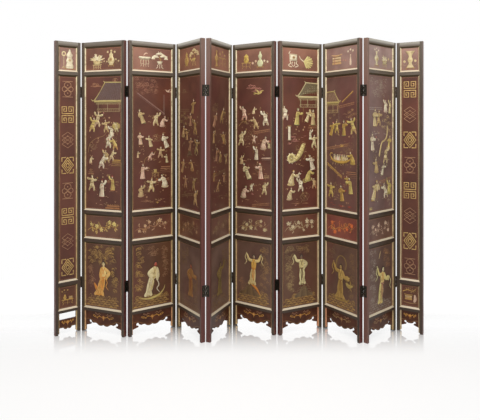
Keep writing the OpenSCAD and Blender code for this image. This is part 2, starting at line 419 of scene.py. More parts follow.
def frame_lacquer(leaf, part, finish):
    """Dark satin lacquer with brushed grain, rubbed corners, redder leaf edges, and dust and painted
    highlight toward the top.
    """
    material, tree, shader = start_material(f"frame_lacquer_{part}_{leaf.number:02d}", 0.42, 0, 0.25,
        0.12, 0.22)
    place = leaf_place(tree, leaf)
    along, across, up = parts_of(place)[:3]
    grain = noise(stretched(place, (90, 90, 2.2) if part == "stiles" else (2.2, 90, 90)), 1, 4, 0.6)
    cloud = noise(place, 7, 3, 0.6)
    ground, red = opaque(finish.frame), opaque(finish.edge)
    base = layer(mixed(ground, tone("181410"), 0.45), mixed(ground, tone("807462"), 0.16), grain, 0.3,
        0.7)
    base = layer(base, mixed(ground, tone("685444"), 0.3), cloud, 0.35, 0.7)
    end, depth = sums("ABSOLUTE", along), sums("ABSOLUTE", across)
    edge = layer(mixed(red, tone("281212"), 0.35), mixed(red, tone("966054"), 0.22), grain, 0.3, 0.7)
    base = layer(base, edge, end, leaf.half_width - 0.0013, leaf.half_width - 0.0009)
    corner = times(*(between(value, half - 0.0035, half - 0.0006)
        for value, half in ((end, leaf.half_width), (depth, leaf.half_depth))))
    rubbed = times(corner, between(noise(place, 46), 0.5, 0.66))
    base = mix(times(rubbed, 0.6), base, tone("8c6c50"))
    # Painted sheen on the front faces of some stiles
    for side, (shade, share) in SHEEN_STRIPS.get(leaf.number, {}).items() if part == "stiles" else ():
        base = layer(base, shade, times(along, float(side)), 0, 0.01, 0, share)
    top_highlight = TOP_HIGHLIGHT[leaf.number]
    # Dust, with painted highlight on the stiles, pales the frame toward its top
    start, dust_and_highlight = (1.5, 0.1 + 0.4 * top_highlight) if part == "stiles" else (0.9, 0.4)
    base = layer(base, tone("82786a"), up, start, 2.1, 0, dust_and_highlight)
    # Painted highlight along the upper edge of the top rail
    if part == "rails":
        base = layer(base, tone("cecabe"), up, 2.072, 2.094, 0, top_highlight)
    feed(shader, base, between(cloud, 0.3, 0.75, 0.34, 0.5), bumped(grain, 0.12, 0.0006))
    return material


def board_lacquer(name, zones):
    """Polished lacquer: each zone is the height at which it starts, in metres, and its colour."""
    material, tree, shader = start_material(name, 0.38, 0, 0.2, 0.16, 0.2)
    place = object_place(tree)
    base = zones[0][1]
    for start, shade in zones[1:]:
        base = layer(base, shade, parts_of(place)[2], start - 0.001, start + 0.001)
    mottle = noise(place, 4.5, 4, 0.55, 0.3)
    base = layer(base, tone("2e1c1c"), mottle, 0.3, 0.7, 0, 0.42)
    bloom = noise(stretched(place, (3, 3, 1.4)), 2.4, 2, 0.5)
    base = layer(base, tone("783e3c"), bloom, 0.46, 0.74, 0, 0.3)
    cracks = step(tree, "ShaderNodeTexVoronoi", {"Vector": place, "Scale": 70},
        feature="DISTANCE_TO_EDGE").outputs["Distance"]
    crack = times(between(cracks, 0, 0.03, 1, 0), between(mottle, 0.5, 0.64))
    base = mix(times(crack, 0.35), base, tone("1e1210"))
    feed(shader, base, between(mottle, 0.3, 0.7, 0.3, 0.44), bumped(noise(place, 60, 2), 0.05, 0.0008))
    return material


# How far painted highlight pales each leaf's upright mouldings toward cream
UPRIGHT_HIGHLIGHT = {1: 0.1, 7: 0.36, 8: 0.42, 9: 0.12, 10: 0.62}
# How much red shows on the strips beside each leaf's apron
RED_FEET = {2: 0.3, 3: 0.4, 7: 0.7, 8: 0.7}


def moulding_gilt(leaf, finish, height):
    """Gilding paler toward the top by painted light, with a painted highlight where it faces up and
    painted shade where it faces down, tarnished in patches and darker at its outer edge.
    """
    material, tree, shader = start_material(f"moulding_gilt_{leaf.number:02d}", 0.42, 0.1, 0.35)
    coordinates = step(tree, "ShaderNodeTexCoord").outputs
    place = coordinates["Object"]
    facing, up = parts_of(coordinates["Normal"])[2], parts_of(place)[2]
    depth = sums("ABSOLUTE", parts_of(leaf_place(tree, leaf))[1])
    top_lit = opaque(finish.top_lit_gilt)
    # Painted light: the gilding pales toward the top, where the light from above falls
    base = layer(opaque(finish.gilt), top_lit, up, 0.3 * height, 0.9 * height)
    wear = noise(place, 38, 4, 0.65)
    base = layer(base, tone("704c2c"), wear, 0.36, 0.52, 0.55, 0)
    # Painted highlight on the mouldings of the leaves that face the light
    base = mix(UPRIGHT_HIGHLIGHT.get(leaf.number, 0), base, tone("f4deb6"))
    base = layer(base, tone("d6805a"), up, 0.155, 0.17, RED_FEET.get(leaf.number, 0), 0)
    base = layer(base, tone("54462e"), depth, leaf.half_depth - 0.0052, leaf.half_depth - 0.0038)
    # Painted highlight where the moulding faces up, and painted shade where it faces down
    base = layer(base, mixed(top_lit, tone("e2d2be"), 0.6), facing, 0.3, 0.6)
    base = layer(base, tone("4a3e26"), facing, -0.6, -0.3, 1, 0)
    feed(shader, base, between(wear, 0.3, 0.7, 0.52, 0.38), bumped(noise(place, 150, 2), 0.1, 0.0004))
    return material


def apron_lacquer(finish):
    """Red-brown lacquer on the carved aprons, with darker rubbed clouds."""
    material, tree, shader = start_material("apron_lacquer", 0.46, 0, 0.18, 0.08, 0.24)
    place = object_place(tree)
    cloud = noise(place, 14, 4, 0.6)
    ground = opaque(finish.apron)
    base = layer(mixed(ground, tone("1e100e"), 0.45), mixed(ground, tone("824e3c"), 0.18), cloud, 0.3,
        0.7)
    feed(shader, base, between(cloud, 0.3, 0.7, 0.36, 0.5), bumped(noise(place, 90, 2), 0.08, 0.0006))
    return material


def hinge_iron(finish):
    """Blackened iron with brown rust in its hollows."""
    material, tree, shader = start_material("hinge_iron", 0.45, 0.75)
    rust = noise(object_place(tree), 120, 4, 0.65)
    base = layer(opaque(finish.iron), tone("4a3222"), rust, 0.5, 0.68)
    feed(shader, base, between(rust, 0.35, 0.7, 0.36, 0.62), bumped(rust, 0.2, 0.0005))
    return material


def tinted(name, metallic, wear_shade, relief):
    """A finish that takes its colour from each stroke's own tint and wears through in patches."""
    material, tree, shader = start_material(name, 0.5, metallic, 0.42)
    place = object_place(tree)
    tint = step(tree, "ShaderNodeAttribute", attribute_name="tint").outputs["Color"]
    grain, patch = noise(place, 260, 3, 0.6), noise(place, 42, 3, 0.6)
    base = layer(tint, wear_shade, grain, 0.3, 0.75, 0, 0.12)
    base = layer(base, wear_shade, patch, 0.34, 0.5, 0.3, 0)
    feed(shader, base, between(patch, 0.3, 0.7, 0.52, 0.36), bumped(grain, 0.18, relief))
    return material


def screw_brass():
    """Rubbed brass of the hinge screws."""
    material, tree, shader = start_material("screw_brass", 0.34, 0.9)
    wear = noise(object_place(tree), 400, 3)
    feed(shader, layer(tone("3e362a"), tone("80765e"), wear, 0.35, 0.65))
    return material


# Geometry Nodes that carve the inlay and the gilt lines

def set_down(name, data):
    """A new object with the given data, in the scene."""
    made = bpy.data.objects.new(name, data)
    bpy.context.scene.collection.objects.link(made)
    return made


def new_tree(name, inputs):
    """A Geometry Nodes tree with named inputs, given as a table: name, socket type, default."""
    tree = bpy.data.node_groups.new(name, "GeometryNodeTree")
    for label, kind, *default in table("Geometry Geometry; " + inputs):
        socket = tree.interface.new_socket(label, in_out="INPUT", socket_type="NodeSocket" + kind)
        if default:
            socket.default_value = default[0]
    tree.interface.new_socket("Geometry", in_out="OUTPUT", socket_type="NodeSocketGeometry")
    return tree, tree.nodes.new("NodeGroupInput").outputs


def close_tree(tree, geometry, material):
    """Ends a tree in Realize Instances and Set Material."""
    real = step(tree, "GeometryNodeRealizeInstances", {"Geometry": geometry})
    dressed = step(tree, "GeometryNodeSetMaterial", {"Geometry": real, "Material": material})
    end = tree.nodes.new("NodeGroupOutput")
    tree.links.new(dressed.outputs[0], end.inputs[0])


def named(tree, name, kind="FLOAT"):
    return step(tree, "GeometryNodeInputNamedAttribute", {"Name": name},
        data_type=kind).outputs["Attribute"]


def stroke_tree():
    """Sweeps a half-round of each path's own radius along it, with its flat side on the board."""
    tree, given = new_tree("carved_strokes",
        "Relief Float 0.3; Steps Int 3; Sides Int 5; Material Material")
    paths = step(tree, "GeometryNodeMeshToCurve", {"Mesh": given["Geometry"]})
    rounded = step(tree, "GeometryNodeCurveSplineType",
        {"Curve": paths, "Selection": named(tree, "rounded", "BOOLEAN")}, spline_type="CATMULL_ROM")
    fine = step(tree, "GeometryNodeSetSplineResolution",
        {"Geometry": rounded, "Resolution": given["Steps"]})
    level = step(tree, "GeometryNodeSetCurveNormal", {"Curve": fine}, mode="Z_UP")
    arc = step(tree, "GeometryNodeCurveArc", {"Resolution": given["Sides"], "Radius": 1,
        "Start Angle": math.pi, "Sweep Angle": math.pi}, mode="RADIUS")
    closed = step(tree, "GeometryNodeSetSplineCyclic", {"Geometry": arc, "Cyclic": True})
    height = step(tree, "ShaderNodeCombineXYZ", {0: 1, 1: given["Relief"], 2: 1})
    profile = step(tree, "GeometryNodeTransform", {"Geometry": closed, "Scale": height})
    swept = step(tree, "GeometryNodeCurveToMesh", {"Curve": level, "Profile Curve": profile,
        "Scale": named(tree, "half_width"), "Fill Caps": True})
    smooth = step(tree, "GeometryNodeSetShadeSmooth", {"Geometry": swept})
    close_tree(tree, smooth, given["Material"])
    return tree


def stud_tree():
    """Sets a low dome of its own length, width and turn on every point."""
    tree, given = new_tree("set_studs", "Sides Int 8; Material Material")
    dome = step(tree, "GeometryNodeMeshUVSphere", {"Segments": given["Sides"], "Rings": 4, "Radius": 1})
    smooth = step(tree, "GeometryNodeSetShadeSmooth", {"Geometry": dome})
    turn = step(tree, "ShaderNodeCombineXYZ", {0: 0, 1: 0, 2: named(tree, "turn")})
    placed = step(tree, "GeometryNodeInstanceOnPoints", {"Points": given["Geometry"], "Instance": smooth,
        "Rotation": turn, "Scale": named(tree, "spread", "FLOAT_VECTOR")})
    close_tree(tree, placed, given["Material"])
    return tree


def screw_tree():
    """Sets a domed screw head with a slot on every point, facing along the point's own axis."""
    tree, given = new_tree("set_screws", "Radius Float 0.0026; Height Float 0.0005; Material Material")
    radius, height = given["Radius"], given["Height"]
    rim = step(tree, "GeometryNodeMeshCone", {"Vertices": 14, "Side Segments": 1, "Fill Segments": 1,
        "Radius Top": times(radius, 0.72), "Radius Bottom": radius, "Depth": height})
    slot_size = step(tree, "ShaderNodeCombineXYZ", {0: times(radius, 1.3), 1: times(radius, 0.26),
        2: times(height, 0.6)})
    slot = step(tree, "GeometryNodeMeshCube", {"Size": slot_size})
    top = step(tree, "ShaderNodeCombineXYZ", {2: height})
    lifted = step(tree, "GeometryNodeTransform", {"Geometry": slot, "Translation": top})
    head = step(tree, "GeometryNodeMeshBoolean", {"Mesh 1": rim, "Mesh 2": lifted},
        operation="DIFFERENCE", solver="EXACT")
    placed = step(tree, "GeometryNodeInstanceOnPoints", {"Points": given["Geometry"], "Instance": head,
        "Rotation": named(tree, "facing", "FLOAT_VECTOR")})
    close_tree(tree, placed, given["Material"])
    return tree


def grown(name, mesh, tree, **inputs):
    """Runs a tree on a mesh and returns the result as a plain mesh; inputs go by their names."""
    seed = set_down(name + "_seed", mesh)
    modifier = seed.modifiers.new("tree", "NODES")
    modifier.node_group = tree
    sockets = {item.name: item.identifier for item in tree.interface.items_tree
        if item.item_type == "SOCKET" and item.in_out == "INPUT"}
    for label, value in inputs.items():
        modifier[sockets[label]] = value
    depsgraph = bpy.context.evaluated_depsgraph_get()
    result = bpy.data.meshes.new_from_object(seed.evaluated_get(depsgraph))
    seed.modifiers.remove(modifier)
    bpy.data.objects.remove(seed)
    bpy.data.meshes.remove(mesh)
    result.name = name
    return result


def add_attribute(mesh, name, kind, field, values):
    attribute = mesh.attributes.new(name, kind, "POINT")
    attribute.data.foreach_set(field, np.array(values, dtype=float).ravel())


class Drawing:
    """Strokes and studs on a board, in millimetres: right, up and out from the board."""

    def __init__(self, relief):
        self.relief = relief
        self.points, self.edges, self.radii, self.rounded, self.tints = [], [], [], [], []
        self.studs, self.spreads, self.turns, self.stud_tints = [], [], [], []

    def stroke(self, path, radii, tint, rounded):
        start = len(self.points)
        self.points += path
        self.edges += [(start + k, start + k + 1) for k in range(len(path) - 1)]
        self.radii += radii
        self.rounded += [rounded] * len(path)
        self.tints += [tint] * len(path)

    def stud(self, point, spread, turn, tint):
        self.studs.append(point)
        self.spreads.append(spread)
        self.turns.append(turn)
        self.stud_tints.append(tint)

    def built(self, name, placing, material, steps, sides):
        """The drawing as one plain mesh in its place."""
        made = []
        if self.edges:
            mesh = bpy.data.meshes.new(name + "_paths")
            mesh.from_pydata(self.points, self.edges, [])
            add_attribute(mesh, "half_width", "FLOAT", "value", self.radii)
            add_attribute(mesh, "tint", "FLOAT_COLOR", "color", self.tints)
            mesh.attributes.new("rounded", "BOOLEAN", "POINT").data.foreach_set("value", self.rounded)
            made.append(grown(name + "_strokes", mesh, stroke_nodes, Relief=self.relief, Steps=steps,
                Sides=sides, Material=material))
        if self.studs:
            mesh = bpy.data.meshes.new(name + "_points")
            mesh.from_pydata(self.studs, [], [])
            add_attribute(mesh, "spread", "FLOAT_VECTOR", "vector", self.spreads)
            add_attribute(mesh, "turn", "FLOAT", "value", self.turns)
            add_attribute(mesh, "tint", "FLOAT_COLOR", "color", self.stud_tints)
            made.append(grown(name + "_studs", mesh, stud_nodes, Material=material))
        for mesh in made:
            mesh.transform(placing)
        return joined(name, made)


def joined(name, meshes):
    """Several meshes of one material as one piece's mesh."""
    if len(meshes) == 1:
        meshes[0].name = name
        return meshes[0]
    holders = [set_down(name + "_part", mesh) for mesh in meshes]
    with bpy.context.temp_override(active_object=holders[0], selected_editable_objects=holders,
            selected_objects=holders, object=holders[0]):
        bpy.ops.object.join()
    result = holders[0].data
    bpy.data.objects.remove(holders[0])
    result.name = name
    return result


def seat(name, mesh, leaf):
    """Makes a mesh a piece that rides on its leaf."""
    piece = set_down(name, mesh)
    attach(piece, leaf.name)
    return piece


stroke_nodes = stroke_tree()
stud_nodes = stud_tree()
screw_nodes = screw_tree()


class Pen:
    """Draws at a place, size, flip and turn of its own on a drawing."""

    def __init__(self, drawing, x, y, size, flip=1, turn=0):
        self.drawing, self.x, self.y, self.size, self.flip, self.turn = drawing, x, y, size, flip, turn
        self.cos, self.sin = math.cos(turn), math.sin(turn)

    def at(self, x, y, lift=0):
        """A point of the motif on the board; its lift is counted in half widths."""
        across = self.flip * x
        return (self.x + self.size * (across * self.cos - y * self.sin), self.y + self.size *
            (across * self.sin + y * self.cos), self.size * self.drawing.relief * lift)

    def sub(self, x, y, size=1, flip=1, turn=0):
        """A pen for a motif within the motif."""
        place = self.at(x, y)
        return Pen(self.drawing, place[0], place[1], self.size * size, self.flip * flip,
            self.turn + self.flip * turn)

    def blunt(self, path, radii, tint, rounded=True):
        """A stroke through control points, with one radius for all or one for each."""
        points, widths = self.placed(path, radii)
        self.drawing.stroke(points, widths, tint, rounded)

    def stroke(self, path, radii, tint):
        """A stroke with a rounded tip at both ends."""
        points, widths = self.placed(path, radii)
        for end, inner in ((0, 1), (-1, -2)):
            tip, width = Vector(points[end]), widths[end]
            way = tip - Vector(points[inner])
            if way.length > 1e-9:
                way = way.normalized() * width * 0.7
            spot = 0 if end == 0 else len(points)
            points.insert(spot, tuple(tip + way))
            widths.insert(spot, 0.22 * width)
        self.drawing.stroke(points, widths, tint, True)

    def placed(self, path, radii):
        """The points of a path on the board, and the radius at each; both may come as text."""
        path = table(path) if isinstance(path, str) else path
        radii = table(radii)[0] if isinstance(radii, str) else radii
        if not isinstance(radii, (list, tuple)):
            radii = [radii] * len(path)
        return [self.at(*point) for point in path], [self.size * radius for radius in radii]

    def bars(self, paths, radius, tint):
        """Straight-edged strokes with sharp corners."""
        for path in paths:
            self.blunt(path, radius, tint, rounded=False)

    def bow(self, x, y, half, rise, radii, tint, low=0, high=0):
        """A stroke with a middle point over or under two ends that are level, with their lifts."""
        self.stroke([(x - half, y, low), (x, y + rise, high), (x + half, y, low)], radii, tint)

    def stud(self, x, y, spread, tint, turn=0, lift=0):
        """A low dome, whose spread is one radius or a length and a width."""
        if not isinstance(spread, (list, tuple)):
            spread = (spread, spread)
        wide, tall = spread[0] * self.size, spread[1] * self.size
        low = max(0.35, min(wide, tall) * 1.2 * self.drawing.relief)
        self.drawing.stud(self.at(x, y, lift), (wide, tall, low), self.turn + self.flip * turn, tint)

    def ring(self, x, y, radius, width, tint, tall=1):
        """A closed ring, or an oval one where it is given another height."""
        self.blunt([(x + radius * math.cos(k * math.tau / 12), y + tall * radius * math.sin(k * math.tau /
            12)) for k in range(13)], width, tint)


# Figures

HATS = ("bun", "cap", "brim", "helmet")
# Each arm: the elbow and the hand from the shoulder, across and up
ARMS = keyed("down 0.03 -0.15 0.02 -0.26; forward 0.11 -0.1 0.24 -0.06; raised 0.13 0.03 0.2 0.19; "
    "out 0.13 -0.03 0.27 0.01; hip 0.13 -0.11 0.05 -0.21; offering 0.09 -0.14 0.21 -0.13")

# Each pose: kind, lean, near arm, far arm
FIGURE_POSES = table("robed 0.03 forward down; striding 0.06 raised hip; robed -0.03 offering hip; "
    "striding 0.12 out raised; robed 0.15 forward offering; crouched 0.14 forward down; "
    "striding 0.02 forward out; robed 0 raised down; striding -0.08 hip raised; "
    "crouched 0.06 raised hip; robed 0.2 down forward; striding 0.18 forward down; "
    "crouched 0.2 offering hip")

PROPS = ("none", "staff", "fan", "none", "branch", "flag", "bowl", "lantern")


def head(pen, x, y, hat, trim, fine=False, skin=SKIN):
    """A head in profile-free, calm front view, under a bun, a cap, a brimmed hat or a helmet."""
    pen = pen.sub(x, y)
    pen.blunt("0 -0.075 0.06; 0 -0.03 0.07", 0.022, skin)
    if not fine:
        pen = pen.sub(0, 0.008)
    pen.stud(0, 0, (0.05, 0.06) if fine else (0.058, 0.068), skin, lift=0.1)
    pen.stroke("-0.05 -0.002 0.1; -0.038 0.048 0.12; 0 0.064 0.13; 0.038 0.048 0.12; 0.05 -0.002 0.1",
        0.014, HAIR)
    if hat == "bun":
        pen.stud(0, 0.08, 0.021, HAIR, lift=0.08)
    elif hat == "cap":
        pen.bow(0, 0.04, 0.05, 0.045, "0.014 0.026 0.014", trim, 0.12, 0.12)
        pen.stroke("-0.1 0.045 0.1; -0.05 0.045 0.12", 0.011, trim)
    elif hat == "brim":
        pen.bow(0, 0.03, 0.095, 0.03, "0.012 0.03 0.012", trim, 0.12, 0.14)
    else:
        pen.bow(0, 0.04, 0.035, 0.06, "0.016 0.022 0.016", trim, 0.12, 0.12)
        pen.stroke("0 0.1 0.1; 0.01 0.15 0.08", "0.012 0.007", CORAL)
    if fine:
        for side in (-1, 1):
            pen.blunt([(side * 0.011, 0.006, 0.16), (side * 0.024, 0.007, 0.153)], 0.0032, HAIR)
            pen.blunt([(side * 0.009, 0.019, 0.158), (side * 0.026, 0.021, 0.15)], 0.0022, HAIR)
        pen.blunt("0 0.008 0.16; 0 -0.01 0.164", 0.0048, skin)
        pen.stroke("-0.009 -0.024 0.155; 0.009 -0.024 0.155", 0.0034, CORAL)


def arm(pen, x, y, way, side, robe, fine=False, skin=SKIN):
    """A sleeve and a hand; gives the hand's place."""
    elbow_x, elbow_y, hand_x, hand_y = ARMS[way]
    elbow = (x + side * elbow_x, y + elbow_y, 0.1)
    wrist = (x + side * hand_x, y + hand_y, 0.1)
    widths = [0.05, 0.062, 0.076]
    if fine:
        widths = [0.046, 0.046, 0.028] if way == "raised" else [0.046, 0.054, 0.056]
    pen.stroke([(x, y, 0.08), elbow, wrist], widths, robe)
    reach = Vector(wrist[:2]) - Vector(elbow[:2])
    reach = reach.normalized() * 0.055
    hand = (wrist[0] + reach.x, wrist[1] + reach.y)
    pen.stud(hand[0], hand[1], (0.021, 0.019), skin, lift=0.08)
    if fine and way != "raised":
        fall = (wrist[0] + 0.2 * reach.x, wrist[1] - 0.075, 0.09)
        pen.stroke([wrist, fall], "0.044 0.032", robe)
    return hand


def carry(pen, hand, prop, trim):
    """The thing that a figure holds, at its hand."""
    pen = pen.sub(*hand)
    if prop == "staff":
        pen.stroke("-0.02 -0.5 0.05; 0.01 0 0.14; 0.02 0.34 0.05", 0.009, OLD_GOLD)
    elif prop == "fan":
        pen.stroke("0 0; 0.03 0.06 0.1", 0.008, OLD_GOLD)
        pen.stud(0.05, 0.11, (0.05, 0.06), trim, lift=0.1)
    elif prop == "branch":
        pen.stroke("0 -0.04; 0.05 0.1; 0.03 0.22", "0.01 0.009 0.005", OLD_GOLD)
        for turn, (x, y) in enumerate(((0.07, 0.12), (0, 0.17), (0.06, 0.2), (0.02, 0.24))):
            pen.stud(x, y, (0.026, 0.013), STRAW, turn=turn * 0.9)
    elif prop == "flag":
        pen.stroke("0 -0.12 0.05; 0.02 0.42 0.05", 0.008, OLD_GOLD)
        pen.stroke("0.06 0.36 0.05; 0.14 0.33 0.08; 0.22 0.36 0.05", "0.05 0.042 0.02", trim)
    elif prop == "bowl":
        pen.blunt("0.01 0.01 0.1; 0.01 0.035 0.1", "0.025 0.045", trim)
    elif prop == "lantern":
        pen.stroke("0 0.02 0.1; 0.05 0.1 0.1", 0.007, OLD_GOLD)
        pen.stroke("0.05 0.06 0.05; 0.05 -0.02 0.05", 0.03, CORAL)


def figure(pen, pose, robe, trim, prop, hat):
    """A small robed, striding or crouched figure of one motif height."""
    kind, lean, near, far = pose
    top = 0.66 if kind == "crouched" else 0.79
    dark = mixed(trim, HAIR, 0.45)
    second = mixed(robe, trim, 0.5)
    arm(pen, lean - 0.055, top - 0.015, far, -1, mixed(robe, OLD_GOLD, 0.35))
    if kind == "robed":
        pen.blunt([(lean, 0.79, 0.02), (0.75 * lean, 0.66), (0.4 * lean, 0.5), (0.1 * lean, 0.3),
            (-0.3 * lean, 0.12), (-0.5 * lean, 0.035)], "0.084 0.124 0.116 0.146 0.17 0.186", robe)
        pen.stroke([(-0.5 * lean - 0.17, 0.035, 0.04), (-0.5 * lean, 0.02, 0.16),
            (-0.5 * lean + 0.17, 0.035, 0.04)], 0.022, trim)
        pen.stroke([(0.45 * lean + 0.02, 0.53, 0.16), (0.2 * lean + 0.03, 0.36, 0.17),
            (0.05, 0.16, 0.18)], "0.018 0.022 0.03", second)
        pen.stroke([(0.35 * lean - 0.05, 0.46, 0.15), (-0.07, 0.26, 0.15), (-0.09, 0.08, 0.14)],
            "0.008 0.011 0.014", dark)
    elif kind == "striding":
        pen.stroke([(lean, 0.79, 0.02), (0.75 * lean, 0.66), (0.3 * lean, 0.5)], "0.084 0.124 0.118",
            robe)
        pen.stroke("-0.05 0.38; -0.13 0.22; -0.2 0.07", "0.08 0.07 0.05", mixed(robe, trim, 0.45))
        pen.stroke("0.04 0.38; 0.15 0.25; 0.15 0.06", "0.084 0.072 0.05", mixed(robe, trim, 0.2))
        for foot in (-0.2, 0.15):
            pen.stroke([(foot - 0.015, 0.03), (foot + 0.055, 0.018)], "0.026 0.018", dark)
        pen.stroke([(0.2 * lean, 0.52), (0, 0.42), (-0.01, 0.33)], "0.112 0.148 0.172", robe)
        pen.stroke("-0.15 0.315 0.06; 0 0.29 0.15; 0.14 0.315 0.06", 0.018, trim)
        pen.stroke([(0.1 * lean + 0.03, 0.5, 0.15), (0.05, 0.34, 0.18)], "0.018 0.024", second)
    else:
        pen.stroke("-0.17 0.06; 0.05 0.05; 0.24 0.07", "0.07 0.095 0.055", mixed(robe, trim, 0.4))
        pen.stroke([(lean, 0.66, 0.02), (0.7 * lean, 0.52), (0.05, 0.34), (0.03, 0.16)],
            "0.08 0.124 0.17 0.21", robe)
        pen.stroke("0.1 0.34 0.18; 0.17 0.12 0.14", "0.014 0.024", second)
        pen.stroke("-0.06 0.36 0.16; -0.1 0.12 0.14", 0.011, dark)
    waist = top - 0.25
    pen.stroke([(0.5 * lean - 0.09, waist + 0.008, 0.08), (0.5 * lean, waist - 0.004, 0.15),
        (0.5 * lean + 0.09, waist + 0.008, 0.08)], 0.019, dark)
    for side in (-1, 1):
        pen.stroke([(lean + 0.05 * side, top + 0.015, 0.07), (0.85 * lean - 0.01 * side, top - 0.12,
            0.14)], 0.012, trim)
    hand = arm(pen, lean + 0.055, top - 0.015, near, 1, robe)
    carry(pen, hand, prop, trim)
    head(pen, 1.25 * lean, top + 0.125, hat, trim)


def crowd(pen, rng, count, spacing, top):
    """A row of heads and shoulders behind something."""
    for k in range(count):
        x = spacing * (k - (count - 1) / 2) + rng.uniform(-1.5, 1.5)
        y = top + rng.uniform(-3, 3)
        robe = rng.choice(ROBES)
        pen.stroke([(x, y), (x + 1, y - 12), (x, y - 24)], "4.6 7 8", robe)
        pen.stud(x, y + 8, (4, 5), SKIN, lift=4)
        pen.stroke([(x - 4, y + 9, 4), (x, y + 14, 5), (x + 4, y + 9, 4)], 1.6,
            rng.choice((HAIR, OLD_GOLD, CORAL)))


# Gardens and buildings, in millimetres

def pavilion(pen, width, tile, eave, storey=80, open_gable=False):
    """The nearer half of a tiled roof on posts, cut off at its middle by the moulding."""
    rise = 0.56 * width
    count = max(7, int(width / 9))
    for k in range(count):
        reach = k / (count - 1)
        low = 0 if not open_gable else 0.42 * rise * (1 - reach)
        pen.blunt([(-0.56 * reach * width, rise, 2), (-0.8 * reach * width, 0.42 * rise, 1),
            (-reach * width, low, 1)], "2.4 3.4 4.2", mixed(tile, HAIR, 0.35 * (k % 2)))
    if open_gable:
        for row in range(5):
            for k in range(row + 3):
                pen.stud(-0.06 * width - 0.11 * width * k, 0.74 * rise - 0.13 * rise * row, 2.6, eave,
                    lift=9)
    pen.stroke([(-0.6 * width, rise + 4, 4), (-0.3 * width, rise + 2, 5), (0, rise, 5)], 4.2, eave)
    pen.stroke([(-0.6 * width, rise + 3, 4), (-0.82 * width, 0.42 * rise, 4), (-1.02 * width, 0, 4),
        (-1.12 * width, 9, 4)], "3.4 3 4 1.8", eave)
    pen.stroke([(-0.6 * width, rise + 3), (-0.66 * width, rise + 14)], "3.4 1.6", eave)
    pen.bars([[(-width, -6, 4), (0, -6, 4)]], 8.5, eave)
    pen.bars([[(-0.94 * width, -20), (0, -20)]], 3, mixed(eave, tile, 0.4))
    steps = int(width / 10)
    for k in range(steps):
        pen.stud(-0.92 * width * k / (steps - 1) - 2, -28, 2.6, mixed(eave, tile, 0.3))
    for k in (0.06, 0.5, 0.86):
        pen.bars([[(-k * width, -22), (-k * width, -storey)]], 3, mixed(eave, tile, 0.6))
    railing(pen.sub(-0.47 * width, -storey), 0.86 * width, 20, mixed(eave, tile, 0.3))


def railing(pen, width, height, tint):
    """A low fretted rail."""
    half = width / 2
    pen.bars([[(-half, 0), (half, 0)], [(-half, height), (half, height)]], 1.4, tint)
    count = max(4, int(width / 17))
    for k in range(count):
        left = -half + width * k / count
        right = -half + width * (k + 1) / count
        middle, quarter = (left + right) / 2, height / 4
        pen.bars([[(left, 0), (left, height)], [(left, height - quarter), (middle, height - quarter),
            (middle, quarter), (right, quarter)]], 0.9, tint)


def terrace(pen, width, rise, tint):
    """Parallel edges of a terrace that climb over the board."""
    for k, thick in enumerate((2.2, 1.1, 1.6)):
        drop = -7 * k
        pen.bars([[(-width / 2, drop), (width / 2, rise + drop)]], thick, tint)
    count = int(width / 22)
    for k in range(1, count):
        share_x = k / count
        x, y = -width / 2 + width * share_x, rise * share_x
        pen.bars([[(x, y), (x, y - 14)]], 0.8, tint)


def cloud(pen, tint, lobes=4):
    """A drifting cloud of curls joined by a long tail."""
    x = 0
    for k in range(lobes):
        size = 13 - 1.6 * abs(k - lobes / 2)
        y = 4 * math.sin(1.9 * k)
        curl = [(x + size * (1 - t / 11) * math.cos(2.6 - 0.62 * t), y + 0.8 * size * (1 - t / 11) *
            math.sin(2.6 - 0.62 * t)) for t in range(10)]
        pen.blunt(curl, [2.3] * 5 + [2, 1.8, 1.5, 1.3, 1], tint)
        x += 1.35 * size
    for drop, far in ((-7, 16), (-13, 30)):
        pen.blunt([(-14 - 0.4 * far, drop), (0.3 * x, drop - 5), (0.7 * x, drop - 2),
            (x + far, drop - 4)], "1 2.1 2.1 0.9", tint)


def waves(pen, width, rows, tint):
    """Overlapping rows of curved wave crests."""
    spacing = 33
    count = int(width / spacing)
    for row in range(rows):
        for k in range(count + (row % 2)):
            x = -width / 2 + spacing * (k + (0 if row % 2 else 0.5))
            shade = mixed(tint, DIM_GOLD, 0.3 * ((row + k) % 3))
            for ring, thick in ((15.5, 1.8), (9.6, 1.5), (4.2, 1.2)):
                if abs(x) + ring > width / 2:
                    continue
                arch = [(x + ring * math.cos(a), row * 15 + 0.7 * ring * math.sin(a)) for a in (0.15, 0.8,
                    1.57, 2.34, 2.99)]
                pen.blunt(arch, thick, shade)


def rock(pen, width, height, tint):
    """A jagged garden rock, its ridges picked out in gold over a dark mass."""
    dark = mixed(tint, tone("463428"), 0.74)
    for k in range(9):
        side = k / 4 - 1
        top = (0.2 + 0.72 * (1 - abs(side) ** 1.3)) * (0.86 if k % 2 else 1) * height
        x = 0.44 * side * width
        pen.stroke([(x, 0.03 * height), (0.84 * x, 0.5 * top), (0.6 * x, top)],
            [0.07 * width, 0.058 * width, 0.026 * width], mixed(dark, tint, 0.22 * (k % 3)))
    rows = max(3, int(height / 17))
    for k in range(rows):
        level = k / rows
        reach = (0.5 - 0.4 * level ** 1.4) * width
        path = [(-reach, level * height, 3), (-0.62 * reach, (level + 0.11) * height, 5),
            (-0.3 * reach, (level + 0.05) * height, 6), (0.02 * reach, (level + 0.2) * height, 7),
            (0.36 * reach, (level + 0.06) * height, 6), (0.7 * reach, (level + 0.12) * height, 5),
            (reach, level * height, 3)]
        pen.stroke(path, 1.4, mixed(tint, dark, 0.3 * (k % 2)))


def leafy(pen, rng, x, y, reach, count, tint):
    """A cluster of small leaves."""
    for _ in range(count):
        way, far = rng.uniform(0, math.tau), reach * math.sqrt(rng.random())
        pen.stud(x + far * math.cos(way), y + 0.6 * far * math.sin(way), (rng.uniform(2.2, 3.6),
            rng.uniform(1, 1.7)), mixed(tint, STRAW, rng.random() * 0.5), turn=rng.uniform(0, math.pi))


